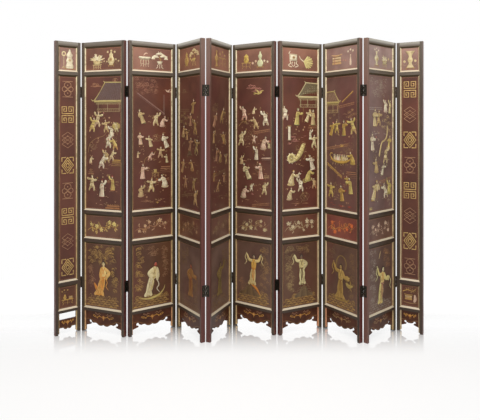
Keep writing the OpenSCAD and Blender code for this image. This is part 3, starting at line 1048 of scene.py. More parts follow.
def tree(pen, rng, height, bark, foliage):
    """A bent tree with tiers of foliage."""
    pen.stroke([(0, 0), (6, 0.25 * height), (-5, 0.52 * height), (8, 0.78 * height), (2, height)],
        "4.6 3.8 3 2.1 1", bark)
    for start, side, far in ((0.34, 1, 0.3), (0.5, -1, 0.34), (0.68, 1, 0.32), (0.82, -1, 0.24),
            (0.97, 1, 0.12)):
        x, y = side * far * height, (start + 0.1) * height
        pen.stroke([(0, start * height), (0.5 * x, start * height + 6), (x, y)], "2 1.6 0.8", bark)
        leafy(pen, rng, x, y + 3, 0.15 * height, 26, foliage)
        leafy(pen, rng, 0.55 * x, y + 6, 0.11 * height, 16, foliage)


def bird(pen, tint):
    """A bird on the wing."""
    pen.stroke("-17 2 1; -4 0 2; 10 3 1; 17 8 1", "1.6 4.6 3.2 1.8", tint)
    pen.stroke("0 1 3; -9 15 2; -22 22 1", "4.6 3.6 1", tint)
    pen.stroke("3 1 3; 14 13 2; 30 16 1", "4.4 3.4 1", mixed(tint, OLD_GOLD, 0.3))
    for k in (-1, 0, 1):
        pen.stroke([(-15, 2, 1), (-34, 2 + 6 * k)], "1.8 0.7", tint)
    pen.stroke("18 9 1; 24 9", "1.6 0.5", OLD_GOLD)


def boat(pen, rng, tint):
    """A long gilt boat with a canopy, rowers and passengers."""
    crowd(pen, rng, 8, 15, 24)
    pen.stroke("-84 26 2; -66 4 4; -20 -8 6; 30 -8 6; 70 4 4; 88 20 2", "2.4 6 9 9 6 2", tint)
    pen.stroke("-72 8 8; -20 -1 10; 30 -1 10; 78 12 7", 1.3, OLD_GOLD)
    pen.stroke("-90 30 2; -80 44 3; -66 42 2", "3 4 1.4", tint)
    for k in range(6):
        x = -55 + 22 * k
        pen.stroke([(x, 8, 8), (x - 9, -24, 2)], "0.9 1.6", BUFF)


def drum_cart(pen, tint):
    """A round drum with a ladder-backed cart behind it."""
    pen.stroke("22 10 1; 44 36 2; 62 74 1", "9 12 9", mixed(tint, STRAW, 0.4))
    for k in range(6):
        x, y = 20 + 8.2 * k, 12 + 12.5 * k
        pen.bars([[(x - 9, y + 6, 12), (x + 11, y - 8, 12)]], 1.1, OLD_GOLD)
    pen.ring(0, 16, 16, 5.5, tint)
    pen.ring(0, 16, 7, 2.4, STRAW)
    pen.stud(0, 16, 3.6, IVORY)
    for k in range(9):
        way = k * math.tau / 9
        pen.stud(23 * math.cos(way), 16 + 23 * math.sin(way), 2.6, IVORY)


def tuft(pen, tint, count=5, reach=12):
    """Blades of grass from one root."""
    for k in range(count):
        way = math.radians(90 + 26 * (k - (count - 1) / 2))
        pen.blunt([(0, 0), (0.6 * reach * math.cos(way), 0.7 * reach * math.sin(way)),
            (1.3 * reach * math.cos(way), reach * math.sin(way))], "0.9 0.8 0.3", tint)


def mist(pen, rng, width, tint):
    """Short level lines of ground and mist."""
    for _ in range(12):
        x, y = rng.uniform(-width / 2, width / 2), rng.uniform(-9, 9)
        far = rng.uniform(14, 46)
        if abs(x) + far / 2 < width / 2:
            pen.blunt([(x - far / 2, y), (x, y + rng.uniform(-2, 2)), (x + far / 2, y)], "0.5 1.5 0.5",
                tint)


# Tall figures of the lower boards

def skirt(pen, waist, hem, spread, lean, robe, trim):
    """A long skirt of hanging folds, from the waist to the hem."""
    pen.stroke([(0, waist, 0), (0.4 * lean, 0.5 * (waist + hem), 0), (lean, hem + 0.06, 0)],
        [0.066, 0.104, 0.5 * spread + 0.03], robe)
    for k in range(5):
        side = (k - 2) / 2
        fold = mixed(robe, trim, 0.3 if k % 2 else 0.06)
        pen.stroke([(0.035 * side, waist, 0.05), (0.075 * side + 0.35 * lean, 0.62 * waist, 0.075),
            (0.5 * spread * side + 0.75 * lean, 0.3 * waist, 0.07), (spread * side + lean,
            hem + 0.02 * (k % 2), 0.055)], "0.022 0.032 0.04 0.046", fold)
    for k in range(4):
        side = (k - 1.5) / 1.5
        pen.stroke([(0.03 * side, waist - 0.02, 0.11), (0.5 * spread * side + 0.6 * lean, 0.4 * waist,
            0.115), (0.85 * spread * side + lean, hem + 0.03, 0.1)], "0.003 0.005 0.006",
            mixed(trim, HAIR, 0.35))
    pen.stroke([(lean - 1.05 * spread, hem + 0.01, 0.06), (lean - 0.4 * spread, hem - 0.008, 0.1),
        (lean + 0.4 * spread, hem + 0.006, 0.1), (lean + 1.05 * spread, hem, 0.06)], 0.012, trim)


def court_figure(pen, lean, trail, spread, near, far, robe, bodice, trim, sash, scarf, skin):
    """A tall standing figure with wide sleeves, a sash and a scarf."""
    far = arm(pen, lean - 0.055, 0.775, far, -1, mixed(robe, trim, 0.25), True, skin)
    skirt(pen, 0.54, 0.03, spread, trail, robe, trim)
    pen.stroke([(lean, 0.79, 0.03), (0.8 * lean, 0.68, 0.05), (0.5 * lean, 0.52, 0.045)],
        "0.074 0.098 0.074", bodice)
    for side in (-1, 1):
        pen.stroke([(lean + side * 0.045, 0.815, 0.11), (0.9 * lean + side * 0.012, 0.72, 0.145),
            (0.7 * lean - side * 0.03, 0.62, 0.14)], "0.011 0.01 0.008", trim)
    pen.bow(0.5 * lean, 0.545, 0.066, -0.015, 0.017, sash, 0.1, 0.13)
    for side, drop in ((-0.5, 0.24), (0.6, 0.17)):
        pen.stroke([(0.5 * lean + 0.01, 0.53, 0.13), (0.4 * lean + 0.05 * side, 0.4, 0.125),
            (0.3 * lean + 0.03 * side + 0.3 * trail, drop, 0.12)], "0.009 0.011 0.012", sash)
    near = arm(pen, lean + 0.055, 0.775, near, 1, mixed(robe, bodice, 0.3), True, skin)
    for hand, falls, thick in ((far, ((-0.05, 0.16), (0.01, 0.27), (-0.07, 0.38)), (0.015, 0.013)),
            (near, ((0.06, 0.12), (0.02, 0.24), (0.09, 0.33)), (0.014, 0.012))):
        tail = pen.sub(*hand)
        tail.stroke([(0, -0.02, 0.14)] + [(x, -y, lift)
            for (x, y), lift in zip(falls, (0.12, 0.11, 0.08))], [0.01, *thick, 0.006], scarf)
    head(pen, 1.2 * lean, 0.905, "bun", trim, True, skin)


# The tall figures: leaf, height, across, up, flip, lean, trail and spread of the skirt, near and
# far arm, then the colours of robe, bodice, trim, sash, scarf and skin
COURT = keyed("2 1.16 -2 84 1 0.02 -0.13 0.13 hip down #f6be68 #fad88c #e89638 #ec963e #eea850 #fae2a8; "
    "3 1.14 -6 76 -1 -0.1 0.11 0.085 hip down #f8eab8 #f0dca0 #ceb074 #d6ba7a #f0e4c4 #c4604a; "
    "4 1.1 20 92 1 0.02 -0.02 0.11 offering hip #a6743e #9c6a3a #865a32 #964e30 #8c6238 #a4583c; "
    "5 1.08 -6 96 1 0.02 -0.02 0.14 raised hip #8a723e #826a3c #746038 #78643e #7c683e #846c46; "
    "6 1.04 -2 142 1 0.02 -0.05 0.115 raised raised #eed696 #e8b254 #c4964c #de8e3a #eed89c #b09678; "
    "7 1.02 12 152 -1 0.02 -0.02 0.09 raised hip #f4e6ac #ecd896 #967a4a #76603e #e8d8a0 #806854; "
    "8 1.16 -8 70 1 0.02 -0.02 0.15 offering raised #c09a54 #caa860 #9c7840 #926c3c #b4924e #c29e5e; "
    "9 1.2 8 50 1 0.05 -0.07 0.075 offering raised #f0e498 #eed086 #dc9e48 #bc8070 #eee4aa #f0e4b0")


def leaf_boat(pen, tint):
    """A slender curved boat, like a fallen leaf on the water."""
    pen.stroke("-98 10 0; -52 -4 1; 0 -6 2; 56 10 1; 92 42 0; 104 74 0", "1.2 5 8 6.5 4.2 1.2", tint)
    pen.stroke("-84 7 4; 0 -3 8; 56 13 6; 94 50 3", "0.7 1.1 1.1 0.6", OLD_GOLD)


def halo_arch(pen, tint):
    """A hooded arch of cloud over a figure, with a basket hung at its side."""
    for wide, thick in ((44, 2.2), (37, 1.3)):
        pen.stroke([(-wide, 168), (-wide + 2, 222), (-0.6 * wide, 258), (0, 272), (0.7 * wide, 262),
            (1.05 * wide, 230), (0.9 * wide, 196)], thick, tint)
    pen.stroke("26 150 1; 42 128 1; 58 112 1", "3 2.4 2", tint)
    pen.stroke("44 110 2; 66 96 3; 96 104 2", "5 12 5", mixed(tint, STRAW, 0.5))
    for k in range(4):
        pen.stroke([(50 + 11 * k, 92, 6), (55 + 10 * k, 112, 5)], 0.9, OLD_GOLD)
    pen.stroke("-62 8; -30 0; 20 -4; 58 6; 66 20", "2.2 4 4.6 3.6 1.6", tint)


# Vessels of the top boards

# The half widths of each turned vessel, from its foot up, for a height of 1
PROFILES = keyed("vase 0.24 0.2 0.16 0.3 0.42 0.44 0.36 0.18 0.13 0.16 0.24; "
    "beaker 0.34 0.28 0.18 0.16 0.26 0.27 0.17 0.16 0.24 0.36 0.46; "
    "gourd 0.24 0.34 0.4 0.38 0.26 0.14 0.22 0.27 0.2 0.1 0.12; "
    "jar 0.26 0.34 0.44 0.5 0.5 0.44 0.32 0.26 0.3 0.16 0.06; "
    "censer 0.2 0.4 0.52 0.56 0.54 0.46 0.44 0.5 0.4 0.2 0.06; "
    "tower 0.3 0.36 0.3 0.26 0.32 0.24 0.22 0.28 0.18 0.1 0.04")


def band(pen, y, wide, sag, radius, tint):
    """A thin band round a turned body, which follows its half-round face."""
    pen.blunt([(wide * out, y - sag * (1 - out * out), wide * math.sqrt(1 - out * out)) for out in (-0.95,
        -0.7, 0, 0.7, 0.95)], radius, tint)


def vessel(pen, kind, height, tint, trim):
    """A turned vessel with bands, from its profile of half widths."""
    radii = PROFILES[kind]
    count = len(radii) - 1
    pen.blunt([(0, height * k / count, 0) for k in range(count + 1)],
        [0.62 * height * radius for radius in radii], tint)
    for k in (1, 3, 6, 9):
        wide = 0.62 * height * radii[k]
        band(pen, height * k / count, wide, 0.08 * wide, 0.9, trim)
    wide = 0.62 * height * radii[4]
    blossom(pen.sub(0, 0.43 * height), 0.42 * wide, trim, trim, lift=wide)


def spray(pen, rng, height, tint, petal, count=5):
    """Stems with blossoms and leaves that rise from one point."""
    for k in range(count):
        way = (k - (count - 1) / 2) * 0.34 + rng.uniform(-0.08, 0.08)
        reach = height * rng.uniform(0.7, 1)
        x, y = reach * math.sin(way), reach * math.cos(way)
        pen.blunt([(0, 0), (0.3 * x, 0.55 * y), (x, y)], "0.8 0.7 0.5", tint)
        if k % 2 == 0:
            blossom(pen.sub(x, y), 0.17 * height, petal, STRAW)
        for near in (0.45, 0.7):
            pen.stud(near * x * 0.9 + 2, near * y, (3.2, 1.3), mixed(tint, JADE, 0.5),
                turn=rng.uniform(0, math.pi))


def blossom(pen, radius, petal, heart, petals=6, lift=0):
    """An open flower seen from the front."""
    for k in range(petals):
        way = k * math.tau / petals + 0.3
        pen.stud(0.58 * radius * math.cos(way), 0.58 * radius * math.sin(way),
            (0.46 * radius, 0.3 * radius), petal, turn=way, lift=lift)
    pen.stud(0, 0, 0.26 * radius, heart, lift=lift + 0.25 * radius)


def stand(pen, width, height, tint, legs=3, curl=True):
    """A low table with a moulded top and curved legs."""
    half = width / 2
    pen.stroke([(-half, height, 0), (half, height, 0)], 2.4, tint)
    pen.bars([[(-0.9 * half, height - 5), (0.9 * half, height - 5)]], 1.2, mixed(tint, HAIR, 0.3))
    for k in range(legs):
        side = -1 + 2 * k / (legs - 1)
        foot = side * half * (1.02 if curl else 0.86)
        pen.stroke([(0.8 * side * half, height - 3), (0.92 * side * half, 0.5 * height),
            (0.74 * side * half, 0.16 * height), (foot, 0)], "2 1.6 1.3 1.5", tint)
    pen.stroke([(-0.8 * half, 0.42 * height), (0, 0.3 * height), (0.8 * half, 0.42 * height)], 1, tint)


def jardiniere(pen, rng, tint):
    """A low planted bowl on a stand, full of leaves and buds."""
    for k in range(26):
        way = math.radians(rng.uniform(4, 176))
        reach = rng.uniform(22, 44)
        x, y = reach * math.cos(way), 20 + 0.85 * reach * math.sin(way)
        pen.stroke([(0.3 * x, 18 + 0.3 * (y - 18), 2), (0.7 * x, 20 + 0.66 * (y - 18), 5), (x, y, 2)],
            "1.6 2.6 0.8", mixed(tint, IVORY, rng.random()))
        if k % 3 == 0:
            pen.stud(x, y, 3.2, mixed(PINK, tint, rng.random()), lift=3)
    pen.blunt("0 20 2; 0 12 3; 0 5 3", "24 21 13", tint)
    band(pen, 19, 24, 2, 1.3, OLD_GOLD)
    stand(pen.sub(0, -17), 46, 20, mixed(tint, OLD_GOLD, 0.4), legs=4)


def bonsai(pen, rng, tint):
    """A dwarf tree in a footed basin."""
    pen.stroke("0 30 2; 7 42 3; -3 54 3; 6 64 2", "3.4 2.8 2.2 1.2", OLD_GOLD)
    for x, y, wide in ((-26, 54, 18), (24, 58, 20), (0, 70, 20), (-38, 44, 9), (38, 46, 10)):
        pen.stroke([(x - wide, y, 0), (x, y + 4, 2), (x + wide, y, 0)], "3 7 3", mixed(tint, IVORY, 0.3))
        leafy(pen, rng, x, y + 4, wide, 10, tint)
    pen.blunt("0 32 2; 0 24 3; 0 19 2", "18 14 8", tint)
    for side in (-1, 0, 1):
        pen.stroke([(side * 7, 19), (side * 14, 8), (side * 11, 3), (side * 20, -6)], 1.5, tint)


def basin(pen, tint):
    """An oval basin on a stand with thin legs."""
    pen.blunt("0 52 2; 0 46 4; 0 41 4", "32 36 27", tint)
    band(pen, 52, 33, 3, 1.8, IVORY)
    stand(pen.sub(0, 0), 52, 40, mixed(tint, OLD_GOLD, 0.35), legs=4, curl=False)
    pen.stroke("-6 60; 6 72; 18 70", "2 3 1.2", PINK)


def tray_table(pen, tint):
    """A box on a tray with crossing curved legs."""
    pen.blunt("0 58 0; 0 20 0", "28 26", tint, rounded=False)
    for y in (24, 54):
        band(pen, y, 27, 0, 1.3, OLD_GOLD)
    blossom(pen.sub(0, 39), 9, OLD_GOLD, OLD_GOLD, lift=27)
    for side in (-1, 1):
        pen.stroke([(side * 24, 18), (side * 18, 6), (side * 34, -8), (side * 12, -16)], 2.6, IVORY)
        pen.stroke([(side * 6, 14), (side * 10, -2), (side * 2, -12)], 2, tint)
    pen.stroke("-30 60 2; -22 74 2", "2.6 1.4", IVORY)


def leaf_fan(pen, tint):
    """A broad ribbed leaf fan, lying open."""
    for k in range(9):
        way = math.radians(-62 + 13.5 * k)
        reach = 58 - 1.2 * (k - 4) ** 2
        pen.stroke([(-24, 32, 2), (-24 + 0.6 * reach * math.cos(way), 32 + 0.6 * reach * math.sin(way),
            3), (-24 + reach * math.cos(way), 32 + reach * math.sin(way), 1)], "1.6 4.2 4.6",
            mixed(tint, OLD_GOLD, 0.35 if k % 2 else 0))
    pen.stroke("-24 32; -46 46; -54 62", "3 2.2 1.4", IVORY)


def books(pen, tint):
    """A wrapped stack of books under a shallow tray."""
    for k, wide in enumerate((26, 24, 25)):
        pen.bars([[(-wide, 8 + 11 * k), (wide, 8 + 11 * k)]], 4.6, mixed(tint, IVORY, 0.2 * k))
        pen.bars([[(-wide, 13 + 11 * k, 3), (wide, 13 + 11 * k, 3)]], 0.8, OLD_GOLD)
    pen.bars([[(-10, 4, 14), (-10, 40, 14)]], 1.6, ROSE)
    pen.stroke("-30 44; 0 40; 30 44", "2 3.2 2", tint)


# Each top board's pieces: kind, across, up, size, colours
TOP_PIECES = {1: table("post -28 16 0.95 #e2ce9c #ceb27e; tower 14 12 138 #f0e4c4 #ceb27e"),
    2: table("rock -54 34 1.5 #e4ce96 #ceb27e; jar 66 34 92 #e2ce9c #a8824c; "
    "sprays 66 92 0.8 #d4be70 #e2ce9c; sprays 104 30 0.7 #d4be70 #e2ce9c; "
    "sprays 8 30 0.6 #d4be70 #e2ce9c"),
    3: table("basin -60 26 1.34 #f0e4c4 #e2ce9c; bonsai 58 26 1.34 #f0e4c4 #e2ce9c"),
    4: table("jar -44 34 96 #be9856 #a8824c; bonsai 62 32 1.4 #d0ae6a #a8824c; "
    "sprays 6 28 0.9 #be9856 #d0ae6a"),
    5: table("vase -56 26 108 #bc965c #a8824c; stand 40 30 1.6 #b08c5a #a8824c"),
    6: table("stand -66 22 1.16 #c4a060 #a8824c; censer -66 62 66 #d6b85c #a8824c; "
    "gourd 56 30 108 #d6d6aa #ceb27e; sprays 18 24 0.9 #e2ce9c #e6c4a8; "
    "sprays 94 26 0.8 #e2ce9c #f0e4c4"),
    7: table("tray -60 44 1.26 #f0e4c4 #ceb27e; fan 62 26 1.3 #ded08c #ceb27e"),
    8: table("books -46 34 1.7 #d6ac7a #bc8070; slim 88 24 82 #e8ceb2 #bc8070; "
    "sprays 88 98 0.7 #e2ce9c #f0e4c4; sprays 20 30 0.7 #cea47e #bc8070"),
    9: table("vase -52 26 96 #ded2aa #ceb27e; sprays -52 104 0.6 #e2ce9c #f0e4c4; "
    "rock 50 36 1.2 #d0c296 #ceb27e; sprays 104 28 0.9 #ceb27e #e2ce9c"),
    10: table("beaker 2 20 120 #e2ce9c #ceb27e; sprays -36 16 0.9 #ceb27e #e2ce9c; "
    "sprays 40 16 0.9 #ceb27e #e2ce9c")}


def top_piece(pen, rng, kind, size, tint, trim):
    """Draws one of the pieces that stand on a top board."""
    if kind in PROFILES:
        vessel(pen, kind, size, tint, trim)
        if kind != "censer":
            stand(pen.sub(0, -13), 0.52 * size, 12, OLD_GOLD)
    elif kind == "slim":
        pen.blunt([(0, 0), (0, 14), (0, 34), (0, 60), (0, size - 6)], "7 10 8 4 6", tint)
    elif kind == "post":
        pen.stroke("0 0; 0 92", "1.8 1.6", tint)
        pen.ring(0, 100, 12, 4.6, tint, tall=1.2)
        pen.stroke("-12 0; 0 6; 12 0", "2.4 3.4 2.4", trim)
    elif kind == "stand":
        stand(pen.sub(0, 0, size), 66, 36, tint)
        if trim == OLD_GOLD and pen.x > 0:
            spray(pen.sub(0, 38), rng, 66, tint, tint)
    elif kind == "sprays":
        spray(pen.sub(0, 0, size), rng, 68, tint, trim)
    elif kind == "rock":
        jardiniere(pen.sub(0, 0, size), rng, tint)
    else:
        draw = {"basin": basin, "tray": tray_table, "fan": leaf_fan, "books": books}.get(kind)
        if draw:
            draw(pen.sub(0, 0, size), tint)
        else:
            bonsai(pen.sub(0, 0, size), rng, tint)


# Medallions, scrolls and lines

def medallion(pen, height, width, weight, tint, kind):
    """A gilt knot that is the same on all four sides of its middle."""
    up, out = height / 2, width / 2
    bold = weight * 4

    def bars(path, thick=bold):
        pen.bars([[(x * out, y * up) for x, y in path]], thick, tint)

    corners = [(side, rise) for side in (-1, 1) for rise in (-1, 1)]
    if kind % 4 == 0:
        for far in (1, 0.66, 0.32):
            bars([(0, far), (far, 0), (0, -far), (-far, 0), (0, far)])
        for side, rise in corners:
            bars([(0.3 * side, rise), (side, rise), (side, 0.5 * rise)])
    elif kind % 4 == 1:
        for side in (-1, 1):
            pen.ring(0, side * 0.5 * up, 0.44 * up, bold, tint, tall=0.92)
            pen.ring(side * 0.52 * out, 0, 0.44 * out, bold, tint)
            pen.stud(0, side * 0.5 * up, 2 * bold, tint)
        for rise in (0.98, -0.98):
            bars([(-0.9, rise), (0.9, rise)])
    elif kind % 4 == 2:
        for side, rise in corners:
            bars([(side * x, rise * y) for x, y in ((0, 0.13), (0.98, 0.13), (0.98, 0.98), (0.2, 0.98),
                (0.2, 0.42), (0.68, 0.42), (0.68, 0.72), (0.46, 0.72))])
    else:
        for k in (-0.5, 0, 0.5):
            bars([(-1, k), (0, k + 0.5), (1, k), (0, k - 0.5), (-1, k)], 0.9 * bold)
        for side in (-0.5, 0.5):
            pen.stud(0, side * up, 1.8 * bold, tint)
            pen.stud(side * out, 0, 1.8 * bold, tint)


def border(pen, wide, low, high, inset, radius, tint):
    """A thin line that runs inside a board's moulding."""
    left, right = -wide + inset, wide - inset
    bottom, top = low + inset, high - inset
    pen.bars([[(left, bottom), (right, bottom)], [(left, top), (right, top)], [(left, bottom - radius),
        (left, top + radius)], [(right, bottom - radius), (right, top + radius)]], radius, tint)


def scroll(pen, tint, reach=46, thick=1.9):
    """A running scroll with a curled end and two leaves."""
    path = [(0, 0), (0.3 * reach, 5), (0.6 * reach, -3), (0.9 * reach, 1), (reach, 8), (0.93 * reach, 13),
        (0.83 * reach, 10), (0.86 * reach, 5)]
    pen.blunt(path, [thick] * 5 + [0.8 * thick, 0.7 * thick, 0.5 * thick], tint)
    for x, y, turn in ((0.3, 9, 0.9), (0.52, -7, -0.7), (0.72, 6, 0.6)):
        pen.stud(x * reach, y, (6, 2.6), tint, turn=turn)


# The arrangement of the boards

PALE = (CREAM, IVORY, STRAW, CREAM, BUFF, IVORY)
WARM = (PINK, CREAM, IVORY, BUFF, CREAM, PINK)
FAINT = (tone("9e7a4a"), tone("9e7252"), tone("907042"), tone("ae8a5c"))
GILDED = (tone("c8a854"), tone("ceb260"), tone("be964c"), tone("d2be6e"))

# The figures of each tall board: their colours, then across, up and size for each of them
CASTS = {2: (PALE,
    table("-98 556 1.1; -52 590 1.16; 24 552 0.98; 74 528 0.86; 112 556 0.72; 44 440 1.06; "
    "102 428 0.96; 70 350 0.84; 30 332 1; -16 292 1.12; -100 128 1.22; -14 88 1.28; 80 138 1.08; "
    "-112 330 0.62")),
    3: (WARM, table("-78 620 1.02; 26 600 1.02; 76 596 0.92; -92 466 0.9; -16 450 0.84; 108 440 1.1; "
    "64 366 0.86; 116 330 0.66; -20 350 0.68; -74 218 1.14; -8 120 1.06; 104 150 1.16; -92 92 0.98; "
    "-112 372 0.5")),
    4: (FAINT, table("44 690 1.04; 10 600 0.98; 78 540 1.1; -100 520 1; -40 500 0.84; 4 424 0.98; "
    "96 400 1.1; -108 262 1.02; 40 280 1; -60 150 0.96; 56 140 0.96; 80 40 1.12")),
    5: (FAINT, table("-96 590 1.12; 24 618 1.2; -104 480 0.9; 70 470 1.1; -60 350 1; 6 340 0.92; "
    "104 318 0.8; -40 130 0.9; 70 190 0.84; -100 210 0.8")),
    6: (WARM, table("-82 640 1.12; -4 690 0.62; 104 600 1.14; 20 576 0.96; -112 452 1.16; 2 470 0.66; "
    "80 430 1.14; 134 440 0.5; 22 352 1.02; -110 318 0.74; -50 208 1.22; 60 212 1.26; -96 68 1.08; "
    "92 100 0.98; -20 118 0.62")),
    7: (PALE, table("-128 640 1.1; -30 606 1.28; 60 628 0.98; 112 606 1.18; 88 500 0.76; 120 436 1.05; "
    "104 276 1.18; 62 196 1.14; -84 170 1.3; 122 136 0.84; 4 120 1.06; -96 66 1.06; -20 224 0.52")),
    8: (GILDED, table("-100 532 1; -46 546 0.96; 26 530 1.14; 118 540 1.22; 112 330 1.08; -106 80 1.14; "
    "6 62 1.2; 90 120 1.22; 58 178 0.72")),
    9: (PALE, table("-78 596 1.3; -26 598 1.18; 66 700 1.06; 116 690 1; -104 428 1.28; 106 430 1.06; "
    "60 330 1.3; -52 272 1.2; 20 250 0.9; -86 78 1.44; 66 82 1.22; 112 110 1.2; -20 150 0.6"))}

# What stands between the figures: kind, across, up, size, reach, colour, side
SETTINGS = {2: table("pavilion 149 784 226 #78605a; bank 64 892 76 #b07e58; grove 62 500 62 #846244; "
    "grove -84 452 34 #846244; umbrella 108 600 30 #d4be70; steps 108 318 78 #d6aa54; "
    "pole -46 470 170 #a8824c; cloud -90 900 4 #b07e58 0.9; plinth 78 12 118 #a86842; "
    "mist 0 200 250 #b07e58; tuft -60 36 5 #b07e58; rock -108 250 52 #b07e58"),
    3: table("bank -140 828 196 #a06852; beam 96 690 158 #8c685c 1.5 -1; bird 126 852 0 #e6c4a8 0.9 -1; "
    "grove 44 520 46 #846244; grove -50 150 40 #846244; pole -20 360 90 #a8824c; "
    "table 24 226 54 #a8824c; terrace 70 196 130 #b07e58; steps 100 262 86 #b07e58; "
    "tuft 40 36 5 #d6aa54 1.3; mist 0 60 240 #b07e58; post 92 680 150 #80685a"),
    4: table("cloud -96 858 3 #7c5e3e 0.9; railing -70 706 130 #7c5e3e; rock 0 390 70 #7c5e3e; "
    "tree -88 560 120 #7c5e3e; mist 0 330 240 #7c5e3e; terrace 0 96 240 #7c5e3e"),
    5: table("bank -130 700 120 #7c5e3e; post 88 660 150 #7c5e3e; drum 86 470 0 #846e42 0.8 -1; "
    "terrace -20 250 220 #7c5e3e; mist 0 90 240 #7c5e3e"),
    6: table("cloud -40 892 4 #bc8070; cloud 60 868 4 #bc8070 0.9 -1; bird 46 836 0 #d4be70 1.35; "
    "branch -104 636 70 #a8824c; grove -60 540 58 #846244; grove 40 300 46 #846244; "
    "terrace 70 556 140 #b07e58; scroll 108 366 70 #e6c4a8; mist 60 250 160 #b07e58; "
    "railing 112 226 44 #ceb27e; tuft -10 96 7 #bc8070 1.2; terrace 60 22 150 #b07e58"),
    7: table("gable 149 818 170 #cebe8c; banner -94 596 96 #f0e4c4; grove 8 440 54 #846244; "
    "grove 40 84 46 #846244; steps 104 566 84 #b07e58; drum -76 340 0 #e8d696 1.66; "
    "bird -90 470 0 #bc8070 0.6; wheel 40 200 17 #d4be70; mist -10 520 230 #bc8070; "
    "cloud -60 500 3 #bc8070 0.7; tuft -40 20 5 #bc8070 1.2; mist 0 40 220 #b07e58"),
    8: table("pavilion -149 776 128 #96745a 1 -1; beam 6 772 120 #d6aa54; post -26 604 150 #80685a; "
    "terrace 40 740 170 #b07e58; grove 70 450 60 #846244; grove -50 160 60 #846244; "
    "terrace -40 440 220 #b07e58; boat -10 352 0 #d6aa54 1.18; bird 6 454 0 #d6aa54 0.7; "
    "fence -70 240 150 #d6aa54 1 -1; steps 88 236 100 #b07e58; tree 96 600 130 #b07e58 0.8; "
    "mist 0 30 240 #ba4230"),
    9: table("bank -142 800 190 #aca094 1.2; tree 76 500 150 #ceb27e; ribbon 30 500 120 #d6be84; "
    "grove -40 380 60 #846244; grove 60 160 50 #846244; railing -60 716 160 #aca094; "
    "mist -20 540 230 #aca094; tuft -124 16 7 #d4be70 2; terrace 40 200 200 #b07e58")}


def traces(pen, rng, tint):
    """A few worn strokes of grass, stones or leaves."""
    kind = rng.randrange(4)
    if kind == 0:
        tuft(pen, tint, 4, rng.uniform(8, 15))
    elif kind == 1:
        leafy(pen, rng, 0, 0, rng.uniform(9, 17), 9, tint)
    elif kind == 2:
        far = rng.uniform(8, 22)
        pen.stroke([(-far, 0), (-0.3 * far, rng.uniform(2, 7)), (0.4 * far, rng.uniform(-5, 3)),
            (far, 2)], "0.7 1.5 1.3 0.6", tint)
    else:
        blossom(pen, rng.uniform(5, 8), tint, mixed(tint, CREAM, 0.4), petals=5)


